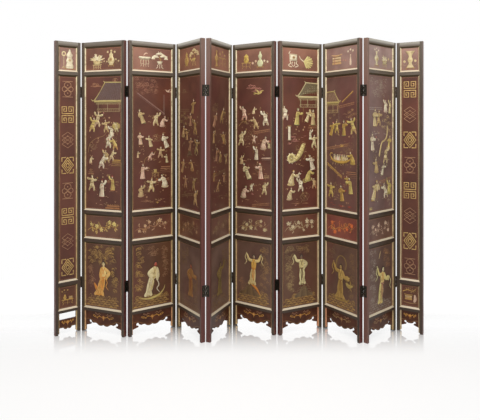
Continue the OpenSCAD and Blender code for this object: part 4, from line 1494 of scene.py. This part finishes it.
def setting(pen, rng, kind, x, y, reach, tint, size=1, side=1):
    """Draws one of the things that stand between the figures."""
    pen = pen.sub(x, y, size, side)
    half = reach / 2
    dark = mixed(tint, HAIR, 0.4)
    if kind == "pavilion":
        pavilion(pen, reach, tint, mixed(tint, tone("ceba74"), 0.8))
    elif kind == "gable":
        pavilion(pen, reach, mixed(TILE, tint, 0.12), tint, open_gable=True)
    elif kind == "cloud":
        cloud(pen, tint, reach)
    elif kind == "grove":
        leafy(pen, rng, 0, 0, reach, int(1.1 * reach), tint)
        for k in range(5):
            x = 0.34 * reach * (k - 2)
            pen.stroke([(0.5 * x, -0.7 * reach), (x, -0.2 * reach), (1.3 * x, 0.3 * reach)],
                "1.8 1.3 0.6", tint)
    elif kind == "bank":
        curls(pen, rng, reach, 0.62 * reach, tint)
    elif kind in ("terrace", "fence"):
        terrace(pen, reach, (0.16 if kind == "terrace" else 0.62) * reach, tint)
    elif kind == "railing":
        railing(pen, reach, 15, tint)
    elif kind == "rock":
        rock(pen, reach, 0.9 * reach, tint)
    elif kind == "tree":
        tree(pen, rng, reach, dark, tint)
    elif kind == "bird":
        bird(pen, tint)
    elif kind == "boat":
        boat(pen, rng, tint)
    elif kind == "drum":
        drum_cart(pen, tint)
    elif kind == "mist":
        mist(pen, rng, reach, tint)
    elif kind == "tuft":
        tuft(pen, tint, reach)
    elif kind == "beam":
        pen.bars([[(0, 0), (0.9 * reach, 0.62 * reach)]], 3.2, tint)
        pen.bars([[(3, -7), (0.9 * reach + 3, 0.62 * reach - 7)]], 1, dark)
    elif kind == "post":
        pen.bars([[(-4, 0), (-4, reach)], [(4, 0), (4, reach)]], 1.5, tint)
    elif kind == "pole":
        pen.stroke([(-half, -0.35 * reach), (-0.42 * reach, 0), (-0.1 * reach, 0.24 * reach),
            (0.3 * reach, 0.36 * reach), (half, 0.62 * reach)], 1.5, tint)
    elif kind == "umbrella":
        for k in range(12):
            out, up = math.cos(k * math.tau / 12), math.sin(k * math.tau / 12)
            pen.stroke([(3 * out, 2 * up, 2), (reach * out, 0.8 * reach * up, 1)], "2 4.6",
                mixed(tint, OLD_GOLD, 0.25 * (k % 2)))
        pen.stroke([(4, -0.8 * reach), (10, -2.1 * reach)], 1.6, OLD_GOLD)
    elif kind == "steps":
        for k in range(4):
            pen.bars([[(-half + 4 * k, 13 * k), (half, 13 * k)]], 3 if k > 1 else 1.6,
                mixed(dark, tint, k / 3))
    elif kind == "plinth":
        pen.bars([[(-half, 0), (half, 0)], [(-0.8 * half, 15), (half, 15)]], 6,
            mixed(tint, OLD_GOLD, 0.35))
        for k in range(7):
            pen.stud(-0.8 * half + 0.26 * half * k, 26, 3, mixed(tint, GOLD, 0.5))
    elif kind == "table":
        stand(pen, reach, 0.62 * reach, tint)
        pen.blunt([(0, 0.66 * reach), (0, 1.1 * reach)], "13 11", mixed(tint, STRAW, 0.4), rounded=False)
    elif kind == "branch":
        pen.stroke([(-0.4 * reach, -0.5 * reach), (0, -0.1 * reach), (half, 0),
            (0.9 * reach, 0.2 * reach)], "2.6 2.2 1.6 0.8", tint)
        leafy(pen, rng, 0.2 * reach, 0, 0.4 * reach, 22, tint)
    elif kind == "scroll":
        pen.stroke([(-half, 0), (half, 3)], "4 4.6", tint)
        pen.stroke([(-half, -12), (half, -9)], 1.2, dark)
    elif kind == "banner":
        pen.bars([[(0, 0), (0, -reach)]], 11, tint)
        pen.stroke("-16 4 2; 16 4 2", 3.4, OLD_GOLD)
        pen.stroke([(-14, -reach, 2), (14, -reach, 2)], 2.6, BUFF)
    elif kind == "wheel":
        pen.ring(0, 0, reach, 2.2, tint, tall=0.8)
        pen.ring(0, 0, half, 1.4, tint, tall=0.8)
    else:
        path = [(-0.4, -0.9), (-0.28, -0.5), (-0.1, -0.12), (0.2, 0), (0.42, 0.3), (0.5, 0.8)]
        pen.stroke([(x * reach, y * reach, 1) for x, y in path], "8 8.5 7 6 6 5", tint)
        for k in (-1, 1):
            pen.stroke([(x * reach + 4 * k * (x < -0.2), y * reach + 3 * k * (x > -0.2), 6)
                for x, y in path[:4]], 0.8, OLD_GOLD)


# The flower belts: stem, petals, heart, and how bright they stand out
BELTS = keyed("2 #d6aa54 #eed684 #d4be70; 3 #b07e58 #e2be94 #d6aa54; 4 #7c5e3e #98704c #a8824c; "
    "5 #7c5e3e #8a6c52 #7c5e3e; 6 #a88458 #d6c496 #d4be70; 7 #bea67c #e8d8b0 #ceb27e; "
    "8 #d68c42 #e06834 #d6aa54; 9 #ac8c74 #e6c4a8 #f0e4c4")


def flower_belt(pen, rng, stem, petal, heart):
    """A flowering branch that runs along a belt board, with sprigs and seed heads."""
    path = [(-134, -30), (-100, -8), (-62, -22), (-22, 0), (18, -14), (58, 10), (98, -4), (134, 24)]
    path = [(x, y + rng.uniform(-6, 6)) for x, y in path]
    pen.stroke(path, "1.6 2.4 2.8 2.6 2.2 1.8 1.4 0.8", stem)
    for k, (x, y) in enumerate(path[1:-1]):
        for side in (-1, 1, rng.choice((-1, 1))):
            way = side * rng.uniform(0.7, 2.3)
            far = rng.uniform(26, 44) if side > 0 else rng.uniform(16, 28)
            out, up = math.cos(way), math.sin(way)
            pen.stroke([(x, y), (x + 0.5 * far * out + 3, y + 0.5 * far * up),
                (x + far * out, y + far * up)], "1.5 1.2 0.7", stem)
            for share_out in (0.4, 0.6, 0.8, 1):
                lean = way + rng.choice((-0.8, 0.8))
                near = share_out * far
                pen.stud(x + near * out + 5 * math.cos(lean), y + near * up + 5 * math.sin(lean),
                    (rng.uniform(4.5, 7), rng.uniform(1.8, 2.7)), mixed(stem, petal, rng.random()),
                    turn=lean)
        if k != 3:
            blossom(pen.sub(x + rng.uniform(-6, 6), y + rng.choice((-20, 22, 26)), 1),
                rng.uniform(11, 18), petal, heart, petals=5 + k % 2)
    for x, y in ((rng.uniform(30, 80), 22), (rng.uniform(-110, -60), -22)):
        for _ in range(24):
            way, far = rng.uniform(0, math.tau), 19 * math.sqrt(rng.random())
            pen.stud(x + far * math.cos(way), y + 0.8 * far * math.sin(way), 2.1,
                mixed(stem, heart, rng.random()))


def curls(pen, rng, width, height, tint):
    """A bank of drifting clouds: curled heads that overlap, each with a long tail."""
    for _ in range(int(width * height / 520)):
        way = rng.choice((-1, 1))
        head = pen.sub(rng.uniform(14, width - 14), rng.uniform(8, height - 8), rng.uniform(0.6, 1.5),
            flip=way, turn=rng.uniform(-0.35, 0.35))
        shade = mixed(tint, DIM_GOLD, 0.1 + rng.random() * 0.6)
        lift = rng.uniform(-2, 3)
        head.blunt([(-16, -5), (-11, 2), (-4, 7 + lift), (4, 6 + lift), (7, 0), (3, -4), (-2, -1),
            (1, 2)], "0.5 0.9 1.3 1.3 1.1 1 0.8 0.5", shade)
        if rng.random() < 0.6:
            head.blunt([(-13, -6), (-1, -8), (9, -5), (20, -8 - lift)], "0.5 1 0.9 0.3", shade)


# Where clouds lie on the lower boards: across, up, width, height and colour
CLOUD_BANKS = {2: table("-138 300 240 150 #d6aa54; -138 130 70 170 #b07e58; 58 110 76 190 #d6aa54"),
    3: table("-138 120 84 320 #d6aa54; -54 360 110 80 #b07e58; 70 200 66 240 #b07e58"),
    4: table("30 60 90 150 #7c5e3e; -130 300 120 130 #7c5e3e"),
    5: table("-130 30 130 120 #7c5e3e; 20 280 110 130 #7c5e3e"),
    6: table("46 60 90 380 #b08854; -138 90 60 100 #b07e58"),
    7: table("-138 110 90 330 #b69c68; -46 370 130 70 #a8824c"),
    8: table("66 90 74 330 #8c6a40; -138 330 80 100 #7c5e3e"),
    9: table("-138 30 88 410 #aca094; 30 300 100 140 #b07e58")}

# The leaves whose clouds and waves aren't of plain gold
GROUND_TINTS = {4: DIM_GOLD, 5: DIM_GOLD, 9: SILVER}


def low_scene(lines, number, rng):
    """Clouds above and waves below the tall figure of a lower board."""
    for x, y, width, height, tint in CLOUD_BANKS[number]:
        curls(lines.sub(x, y), rng, width, height, tint)
    tint = GROUND_TINTS.get(number, GOLD)
    waves(lines.sub(0, 7), 296, 3 if number in (4, 5) else 4, mixed(tint, DIM_GOLD, 0.24))
    curls(lines.sub(-138, 56), rng, 276, 34, mixed(tint, DIM_GOLD, 0.1))
    if number in (2, 6, 9):
        for x, y in ((62, 396), (80, 392)):
            tuft(lines.sub(x, y, 0.9), GOLD, 7)


def low_props(pen, number):
    """What the tall figure of a lower board stands on or under."""
    if number == 3:
        leaf_boat(pen.sub(-4, 66), STRAW)
    elif number == 6:
        rock(pen.sub(-36, 66), 180, 90, tone("96764c"))
        pen.stroke("-20 148 3; 22 122 6; 52 84 4", "7 9 4", ORANGE)
    elif number == 7:
        rock(pen.sub(30, 66), 160, 98, tone("967c56"))
    elif number == 8:
        halo_arch(pen.sub(-4, 66, 1.15), tone("a08042"))
    elif number == 2:
        pen.stroke("-76 168 1; -52 128 3; -20 112 4", "5 15 13", ORANGE)
    elif number == 9:
        pen.stroke("-22 372 1; -12 398 2; -2 420 1", "3 5 2", BUFF)


def end_low_scene(pen, rng, number):
    """The small still life at the foot of an end leaf."""
    if number == PLAIN_LEAF:
        stand(pen.sub(0, 24), 78, 34, GOLD)
        vessel(pen.sub(-20, 60), "jar", 38, GOLD, OLD_GOLD)
        books(pen.sub(22, 58, 0.5), GOLD)
        spray(pen.sub(-22, 98, 0.6), rng, 60, OLD_GOLD, GOLD)
        return
    pen.stroke("-48 106 1; -14 120 2; 16 112 1; 44 134 1", "2.6 2.2 1.8 1", GOLD)
    leafy(pen, rng, 0, 122, 40, 30, GOLD)
    books(pen.sub(-10, 44, 0.95), tone("d6a854"))
    pen.stroke("34 84 2; 38 58 3; 30 38 2", "6 11 7", PINK)
    pen.stroke("-44 30; 0 24; 44 30", "2 3 2", OLD_GOLD)


# One half of the line along each kind of apron, from the stile to the middle
APRON_LINES = {"main":
    table("-146 90; -124 92; -104 89; -86 79; -70 73.5; -56 68.5; -42 59.5; -25 56.5; -10 59.5; 0 65"),
    "end": table("-57 85; -40 86; -24 81; -12 74; 0 71"),
    "plain": table("-57 51.5; -34 51.5; -26 44.5; -13.5 37.5; -4 41; 0 45")}


def apron_lines(pen, leaf, rng, sizes):
    """A line along the scalloped edge, and scrolls with a flower at the middle."""
    kind = "plain" if leaf.number == PLAIN_LEAF else "end" if leaf.is_end else "main"
    tint = tone("d89c42") if leaf.number not in (4, 5, 8, 9) else OLD_GOLD
    path = APRON_LINES[kind]
    for side in (-1, 1):
        pen.blunt([(side * x, y) for x, y in path], 1.2, mixed(tint, DIM_GOLD, 0.6))
    reach = 30 if leaf.is_end else 74
    height = {"main": 112, "end": 118, "plain": 80}[kind]
    for side in (-1, 1):
        scroll(pen.sub(side * 12, height, flip=side), tint, reach)
        if not leaf.is_end:
            scroll(pen.sub(side * 22, height + 20, 0.8, flip=side), FAINT_GOLD, 60)
    blossom(pen.sub(0, height), 13, mixed(tint, CORAL, 0.25), STRAW)
    pen.stroke([(0, height - 10), (0, height - 24)], "2 0.8", tint)


# Each group of inlay and gilding

def carve_group(context, word, draw, relief, gilded=True, leaves=LEAVES, seed=0, side=1, steps=None,
        sides=5):
    """Draws on each leaf's boards, with random draws of its own, and seats the drawing as a piece."""
    sizes = context.scene.screen_relief
    finish, slot = board_finish(gilded)
    for leaf in leaves:
        drawing = Drawing(relief)
        draw(Pen(drawing, 0, 0, 1), leaf, random.Random(sizes.seed * seed + leaf.number), sizes)
        name = f"{leaf.name}_{word}"
        mesh = drawing.built(name, leaf.board_face(side), finish, steps or sizes.smooth_steps, sides)
        seat(name, mesh, leaf)
    return {"FINISHED"}


def draw_cast(pen, leaf, rng, sizes):
    """The figures of a tall board."""
    robes, places = CASTS[leaf.number]
    floor = leaf.opening("main")[0]
    for k, (x, y, size) in enumerate(places):
        side = rng.choice((-1, 1))
        if abs(x) > 96:
            side = -1 if x > 0 else 1
        stood = pen.sub(x, floor + y, 1000 * sizes.figure_height * size, side, rng.uniform(-0.05, 0.05))
        robe = robes[(k + leaf.number) % len(robes)]
        trim = mixed(rng.choice(TRIMS), robe, 0.55 if robes is FAINT else 0)
        figure(stood, rng.choice(FIGURE_POSES), robe, trim, rng.choice(PROPS), rng.choice(HATS))


def draw_garden(pen, leaf, rng, sizes):
    """The garden, buildings and clouds of a tall board, and worn strokes all over it."""
    low = leaf.opening("main")[0]
    for row in SETTINGS[leaf.number]:
        setting(pen.sub(0, low), rng, *row)
    faint = GROUND_TINTS.get(leaf.number, FAINT_GOLD)
    for _ in range(60):
        place = pen.sub(rng.uniform(-118, 118), low + rng.uniform(24, 700), 1, rng.choice((-1, 1)))
        traces(place, rng, mixed(faint, BUFF, rng.random() * 0.6))


def draw_tall_figure(pen, leaf, rng, sizes):
    """The single figure of a lower board, and what it stands on."""
    height, x, y, flip, *look = COURT[leaf.number]
    floor = leaf.opening("low")[0]
    low_props(pen.sub(0, floor), leaf.number)
    court_figure(pen.sub(x, floor + y, 1000 * sizes.tall_height * height, flip), *look)


def draw_water(pen, leaf, rng, sizes):
    low_scene(pen.sub(0, leaf.opening("low")[0]), leaf.number, rng)


def draw_vessels(pen, leaf, rng, sizes):
    """What stands on a top board, and on the lower board of an end leaf."""
    floor = leaf.opening("top")[0]
    for kind, x, y, *looks in TOP_PIECES[leaf.number]:
        top_piece(pen.sub(x, floor + y), rng, kind, *looks)
    if leaf.is_end:
        end_low_scene(pen.sub(0, leaf.opening("low")[0]), rng, leaf.number)


def draw_blossoms(pen, leaf, rng, sizes):
    flower_belt(pen.sub(0, sum(leaf.opening("belt")) / 2), rng, *BELTS[leaf.number])


def draw_medallions(pen, leaf, rng, sizes):
    """The medallions of an end leaf, thin and bold by turns."""
    low, high = leaf.opening("main")
    pitch = (high - low) / 8
    for k in range(8):
        bold = k % 2 == (1 if leaf.number == PLAIN_LEAF else 0)
        medallion(pen.sub(0, high - pitch * (k + 0.5)), 1000 * sizes.medallion_height,
            1000 * sizes.medallion_width, 1 if bold else 0.58, tone("dab670" if bold else "b28862"),
            k + leaf.number)


def draw_lines(pen, leaf, rng, sizes):
    """A gilt line inside the moulding of every board."""
    for low, high in leaf.boards:
        border(pen, leaf.sight, low + SIGHT_MARGIN, high - SIGHT_MARGIN, 6, 1000 * sizes.line_radius,
            FAINT_GOLD)


def board_finish(gilded):
    """The finish and slot of what lies on the boards: gilt paint, or inlay."""
    if gilded:
        return bpy.data.materials.get("gilt_paint") or tinted("gilt_paint", 0.1, tone("684630"),
            0.0004), "gilt"
    return bpy.data.materials.get("inlay") or tinted("inlay", 0, tone("805c3e"), 0.0006), "board_lacquer"


class SCREEN_OT_inlay_figures(bpy.types.Operator):
    """Sets the figures of the tall boards"""

    bl_idname = "screen.inlay_figures"
    bl_label = "Inlay the figures"

    def execute(self, context):
        return carve_group(context, "figures", draw_cast, context.scene.screen_relief.figure_relief,
            False, MAIN_LEAVES, 100)


class SCREEN_OT_paint_gardens(bpy.types.Operator):
    """Paints the gardens, buildings and clouds of the tall boards"""

    bl_idname = "screen.paint_gardens"
    bl_label = "Paint the gardens"

    def execute(self, context):
        return carve_group(context, "gardens", draw_garden, GARDEN_RELIEF, True, MAIN_LEAVES, 200)


class SCREEN_OT_inlay_tall_figures(bpy.types.Operator):
    """Sets the single tall figure of each lower board"""

    bl_idname = "screen.inlay_tall_figures"
    bl_label = "Inlay the tall figures"

    def execute(self, context):
        sizes = context.scene.screen_relief
        return carve_group(context, "tall_figure", draw_tall_figure, sizes.tall_relief, False,
            MAIN_LEAVES, steps=sizes.smooth_steps + 1, sides=7)


class SCREEN_OT_paint_water(bpy.types.Operator):
    """Paints the clouds and waves round the tall figures"""

    bl_idname = "screen.paint_water"
    bl_label = "Paint the clouds and waves"

    def execute(self, context):
        return carve_group(context, "clouds_and_waves", draw_water,
            context.scene.screen_relief.line_relief, True, MAIN_LEAVES, 300)


class SCREEN_OT_inlay_vessels(bpy.types.Operator):
    """Sets the vessels and still lifes of the top boards and the end leaves"""

    bl_idname = "screen.inlay_vessels"
    bl_label = "Inlay the vessels"

    def execute(self, context):
        return carve_group(context, "vessels", draw_vessels, context.scene.screen_relief.vessel_relief,
            False, seed=400)


class SCREEN_OT_inlay_blossoms(bpy.types.Operator):
    """Sets the flowering branches of the belt boards"""

    bl_idname = "screen.inlay_blossoms"
    bl_label = "Inlay the blossoms"

    def execute(self, context):
        return carve_group(context, "blossoms", draw_blossoms, context.scene.screen_relief.figure_relief,
            False, MAIN_LEAVES, 500)


class SCREEN_OT_gild_medallions(bpy.types.Operator):
    """Sets the fret medallions of the end leaves, thin and bold by turns"""

    bl_idname = "screen.gild_medallions"
    bl_label = "Gild the medallions"

    def execute(self, context):
        return carve_group(context, "medallions", draw_medallions,
            context.scene.screen_relief.line_relief, leaves=END_LEAVES, steps=1, sides=4)


class SCREEN_OT_gild_lines(bpy.types.Operator):
    """Sets the gilt lines inside the mouldings, on the front and the back"""

    bl_idname = "screen.gild_lines"
    bl_label = "Gild the lines"

    def execute(self, context):
        for leaf in LEAVES:
            for side, word in ((1, "front"), (-1, "back")):
                carve_group(context, word + "_lines", draw_lines, context.scene.screen_relief.line_relief,
                    leaves=[leaf], side=side, steps=1, sides=4)
        return {"FINISHED"}


class SCREEN_OT_gild_aprons(bpy.types.Operator):
    """Sets the gilt scrolls of the aprons"""

    bl_idname = "screen.gild_aprons"
    bl_label = "Gild the aprons"

    def execute(self, context):
        return carve_group(context, "apron_scrolls", apron_lines,
            context.scene.screen_relief.figure_relief)


class SCREEN_OT_set_screws(bpy.types.Operator):
    """Sets the screws of the hinge plates"""

    bl_idname = "screen.set_screws"
    bl_label = "Set the hinge screws"

    def execute(self, context):
        sizes = context.scene.screen_relief
        brass = screw_brass()
        for leaf in LEAVES:
            rng = random.Random(sizes.seed * 600 + leaf.number)
            places, turns = [], []
            for middle, way, (half_v, half_z) in leaf.plates():
                aside = Vector((*leaf.front, 0))
                for v, z in ((-0.45, -0.72), (0.1, -0.36), (-0.45, 0), (0.1, 0.36), (-0.45, 0.72)):
                    place = middle + aside * v * half_v + Vector((0, 0, z * half_z))
                    places.append(place - way * 0.00005)
                    roll = Quaternion((0, 0, 1), rng.uniform(0, math.pi))
                    turns.append(tuple((way.to_track_quat("Z", "Y") @ roll).to_euler()))
            mesh = bpy.data.meshes.new(f"{leaf.name}_screw_points")
            mesh.from_pydata(places, [], [])
            add_attribute(mesh, "facing", "FLOAT_VECTOR", "vector", turns)
            name = f"{leaf.name}_screws"
            seat(name, grown(name, mesh, screw_nodes, Radius=sizes.screw_radius, Material=brass), leaf)
        return {"FINISHED"}


# The screen's own pieces

def dress(node, material):
    """Gives a node of the frame its finish, over all of its solids."""
    slots = frame["nodes"][node].material_slots
    if not slots:
        frame["nodes"][node].data.materials.append(material)
    for slot in slots:
        slot.link = "OBJECT"
        slot.material = material


SHEEN_TONE = tone("d0beba")
PAINTED_SHADE = tone("281c18")
# How far each leaf's lower, belt, tall and top board is paled by painted sheen (or darkened by painted
# shade, below zero), partly its own colour and partly painted light
BOARD_SHEEN_AND_TONE = keyed("1 -0.08 -0.04 0.01 0.18; 2 0 0.04 0.01 -0.34; 3 0 0.02 0 0.06; 4 0.12 0.02 0.02 -0.03; "
    "5 0.14 0.1 0.03 0.06; 6 0.09 0.08 0.03 0.06; 7 0.03 0.02 0 0.04; 8 0.09 0.14 0.11 0.32; "
    "9 0.12 0.1 0.22 0.54; 10 -0.12 -0.26 -0.06 0.24")


class SCREEN_OT_lacquer_frames(bpy.types.Operator):
    """Lacquers the stiles and rails of every leaf"""

    bl_idname = "screen.lacquer_frames"
    bl_label = "Lacquer the frames"

    def execute(self, context):
        for leaf in LEAVES:
            for part in ("stiles", "rails"):
                dress(f"{leaf.name}_{part}", frame_lacquer(leaf, part, context.scene.screen_finish))
        return {"FINISHED"}


class SCREEN_OT_lacquer_boards(bpy.types.Operator):
    """Lacquers the boards, each row of them in its own ground colour"""

    bl_idname = "screen.lacquer_boards"
    bl_label = "Lacquer the boards"

    def execute(self, context):
        finish = context.scene.screen_finish
        low, belt, main, top = (opaque(shade) for shade in (finish.low_board, finish.belt_board,
            finish.main_board, finish.top_board))
        for leaf in LEAVES:
            sheen_and_tone = BOARD_SHEEN_AND_TONE[leaf.number]
            # Each board's colour is mixed toward painted sheen where its share is above zero, toward
            # painted shade below
            shades = [mixed(shade, SHEEN_TONE, share) if share > 0 else mixed(shade, PAINTED_SHADE, -share)
                for shade, share in zip((low, belt, main, top), sheen_and_tone)]
            if leaf.number == 8:
                shades[1] = mixed(shades[1], CORAL, 0.36)
            if leaf.is_end:
                shades.pop(0)
            starts = [0] + [(a[1] + b[0]) / 2000 for a, b in zip(leaf.boards, leaf.boards[1:])]
            dress(f"{leaf.name}_boards", board_lacquer(f"board_lacquer_{leaf.number:02d}",
                list(zip(starts, shades))))
        return {"FINISHED"}


class SCREEN_OT_gild_mouldings(bpy.types.Operator):
    """Gilds the mouldings round the boards"""

    bl_idname = "screen.gild_mouldings"
    bl_label = "Gild the mouldings"

    def execute(self, context):
        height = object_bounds()[1].z
        for leaf in LEAVES:
            dress(f"{leaf.name}_mouldings", moulding_gilt(leaf, context.scene.screen_finish, height))
        return {"FINISHED"}


class SCREEN_OT_lacquer_aprons(bpy.types.Operator):
    """Lacquers the carved aprons"""

    bl_idname = "screen.lacquer_aprons"
    bl_label = "Lacquer the aprons"

    def execute(self, context):
        lacquer = apron_lacquer(context.scene.screen_finish)
        for leaf in LEAVES:
            dress(f"{leaf.name}_apron", lacquer)
        return {"FINISHED"}


class SCREEN_OT_blacken_hinges(bpy.types.Operator):
    """Blackens the hinges"""

    bl_idname = "screen.blacken_hinges"
    bl_label = "Blacken the hinges"

    def execute(self, context):
        iron = hinge_iron(context.scene.screen_finish)
        for leaf in LEAVES:
            dress(f"{leaf.name}_hinges", iron)
        return {"FINISHED"}


# The stage

WHITE = (1, 1, 1, 1)


def in_sight(tree):
    """One for a ray that comes straight from the camera, from a polished face or through glass."""
    rays = step(tree, "ShaderNodeLightPath").outputs
    seen = sums("ADD", rays["Is Camera Ray"], rays["Is Glossy Ray"], clamp=True)
    return sums("ADD", seen, rays["Is Transmission Ray"], clamp=True)


def stage_world(level):
    """Plain light from all round, and a white surrounding in sight and in reflections."""
    world = bpy.data.worlds.new("plain_room")
    tree = emptied(world)
    room, white = (step(tree, "ShaderNodeBackground", {"Color": WHITE, "Strength": strength}) for strength
        in (level, 1))
    shown = step(tree, "ShaderNodeMixShader", {0: in_sight(tree), 1: room, 2: white})
    step(tree, "ShaderNodeOutputWorld", {"Surface": shown})
    bpy.context.scene.world = world


def stage_floor():
    """A pale polished floor that keeps the screen's shadow and fades to white away from it."""
    material = bpy.data.materials.new("pale_floor")
    tree = emptied(material)
    place, seen = object_place(tree), in_sight(tree)
    back = parts_of(place)[1]
    away = step(tree, "ShaderNodeVectorMath", {0: stretched(place, (0.75, 1, 1))},
        operation="LENGTH").outputs["Value"]
    ground = step(tree, "ShaderNodeBsdfDiffuse", {"Color": (0.5, 0.5, 0.5, 1)})
    glow = step(tree, "ShaderNodeEmission",
        {"Color": WHITE, "Strength": times(seen, between(back, 0.2, 0.6, 0.6, 0.9))})
    matt = step(tree, "ShaderNodeAddShader", {0: ground, 1: glow})
    polish = step(tree, "ShaderNodeBsdfGlossy", {"Color": WHITE, "Roughness": 0.045})
    depth = step(tree, "ShaderNodeMapRange",
        {"Value": back, "From Min": -0.4, "From Max": 0.14}).outputs[0]
    near = times(sums("POWER", depth, 1.7), between(back, 0.2, 0.55, 0.95, 0.14))
    lit = step(tree, "ShaderNodeMixShader", {0: near, 1: matt, 2: polish})
    white = step(tree, "ShaderNodeEmission", {"Color": WHITE, "Strength": 1})
    fade = times(between(away, 1.2, 2.2), seen)
    shown = step(tree, "ShaderNodeMixShader", {0: fade, 1: lit, 2: white})
    step(tree, "ShaderNodeOutputMaterial", {"Surface": shown})
    half, low = 14, -0.0004
    mesh = bpy.data.meshes.new("floor")
    mesh.from_pydata([(-half, -half, low), (half, -half, low), (half, half, low), (-half, half, low)], [],
        [(0, 1, 2, 3)])
    mesh.materials.append(material)
    set_down("floor", mesh)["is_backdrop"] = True


def stage_lamp(name, place, target, size, power, shade):
    lamp = bpy.data.lights.new(name, "AREA")
    lamp.shape = "RECTANGLE"
    lamp.size, lamp.size_y = size
    lamp.energy = power
    lamp.color = shade[:3]
    holder = set_down(name, lamp)
    holder.location = place
    way = Vector(target) - Vector(place)
    holder.rotation_euler = way.to_track_quat("-Z", "Y").to_euler()


class SCREEN_OT_set_stage(bpy.types.Operator):
    """Sets the camera, the lights and the floor"""

    bl_idname = "screen.set_stage"
    bl_label = "Set the stage"

    def execute(self, context):
        stage = context.scene.screen_stage
        camera = bpy.data.cameras.new("camera")
        camera.lens = stage.lens
        camera.sensor_width = 36
        camera.shift_y = stage.shift
        holder = set_down("camera", camera)
        holder.location = (stage.camera_x, -stage.camera_distance, stage.camera_height)
        holder.rotation_euler = (math.pi / 2, 0, 0)
        context.scene.camera = holder
        context.scene.view_settings.view_transform = "Standard"
        stage_world(stage.room_level)
        stage_floor()
        stage_lamp("key_light", (0, -1.7, 3.1), (0, 0, 1.3), (4.8, 1.4), stage.key_power,
            (1, 0.985, 0.96))
        stage_lamp("fill_light", (0, -5, 2.6), (0, 0, 1.3), (4.2, 1.8), stage.fill_power, (1, 0.99, 0.97))
        return {"FINISHED"}


OPERATORS = (SCREEN_OT_lacquer_frames, SCREEN_OT_lacquer_boards, SCREEN_OT_gild_mouldings,
    SCREEN_OT_lacquer_aprons, SCREEN_OT_blacken_hinges, SCREEN_OT_inlay_figures, SCREEN_OT_paint_gardens,
    SCREEN_OT_inlay_tall_figures, SCREEN_OT_paint_water, SCREEN_OT_inlay_vessels,
    SCREEN_OT_inlay_blossoms, SCREEN_OT_gild_medallions, SCREEN_OT_gild_lines, SCREEN_OT_gild_aprons,
    SCREEN_OT_set_screws, SCREEN_OT_set_stage,)


class SCREEN_PT_panel(bpy.types.Panel):
    """Lists the screen's settings and the steps that make it"""

    bl_idname = "SCREEN_PT_panel"
    bl_label = "Lacquer screen"
    bl_space_type = "VIEW_3D"
    bl_region_type = "UI"
    bl_category = "Lacquer screen"

    def draw(self, context):
        for title, group in (("Relief", context.scene.screen_relief),
                ("Finish", context.scene.screen_finish), ("Stage", context.scene.screen_stage)):
            box = self.layout.box()
            box.label(text=title)
            for name in group.bl_rna.properties.keys():
                if name not in ("name", "rna_type"):
                    box.prop(group, name)
        for operator in OPERATORS:
            self.layout.operator(operator.bl_idname)


CLASSES = (ScreenRelief, ScreenFinish, ScreenStage, *OPERATORS, SCREEN_PT_panel)


def register():
    for kind in CLASSES:
        bpy.utils.register_class(kind)
    bpy.types.Scene.screen_relief = PointerProperty(type=ScreenRelief)
    bpy.types.Scene.screen_finish = PointerProperty(type=ScreenFinish)
    bpy.types.Scene.screen_stage = PointerProperty(type=ScreenStage)


def unregister():
    del bpy.types.Scene.screen_stage
    del bpy.types.Scene.screen_finish
    del bpy.types.Scene.screen_relief
    for kind in reversed(CLASSES):
        bpy.utils.unregister_class(kind)


def main():
    """Makes every piece in order."""
    register()
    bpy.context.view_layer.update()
    for operator in OPERATORS:
        group, name = operator.bl_idname.split(".")
        getattr(getattr(bpy.ops, group), name)()
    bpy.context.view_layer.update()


if __name__ == "__main__":
    main()
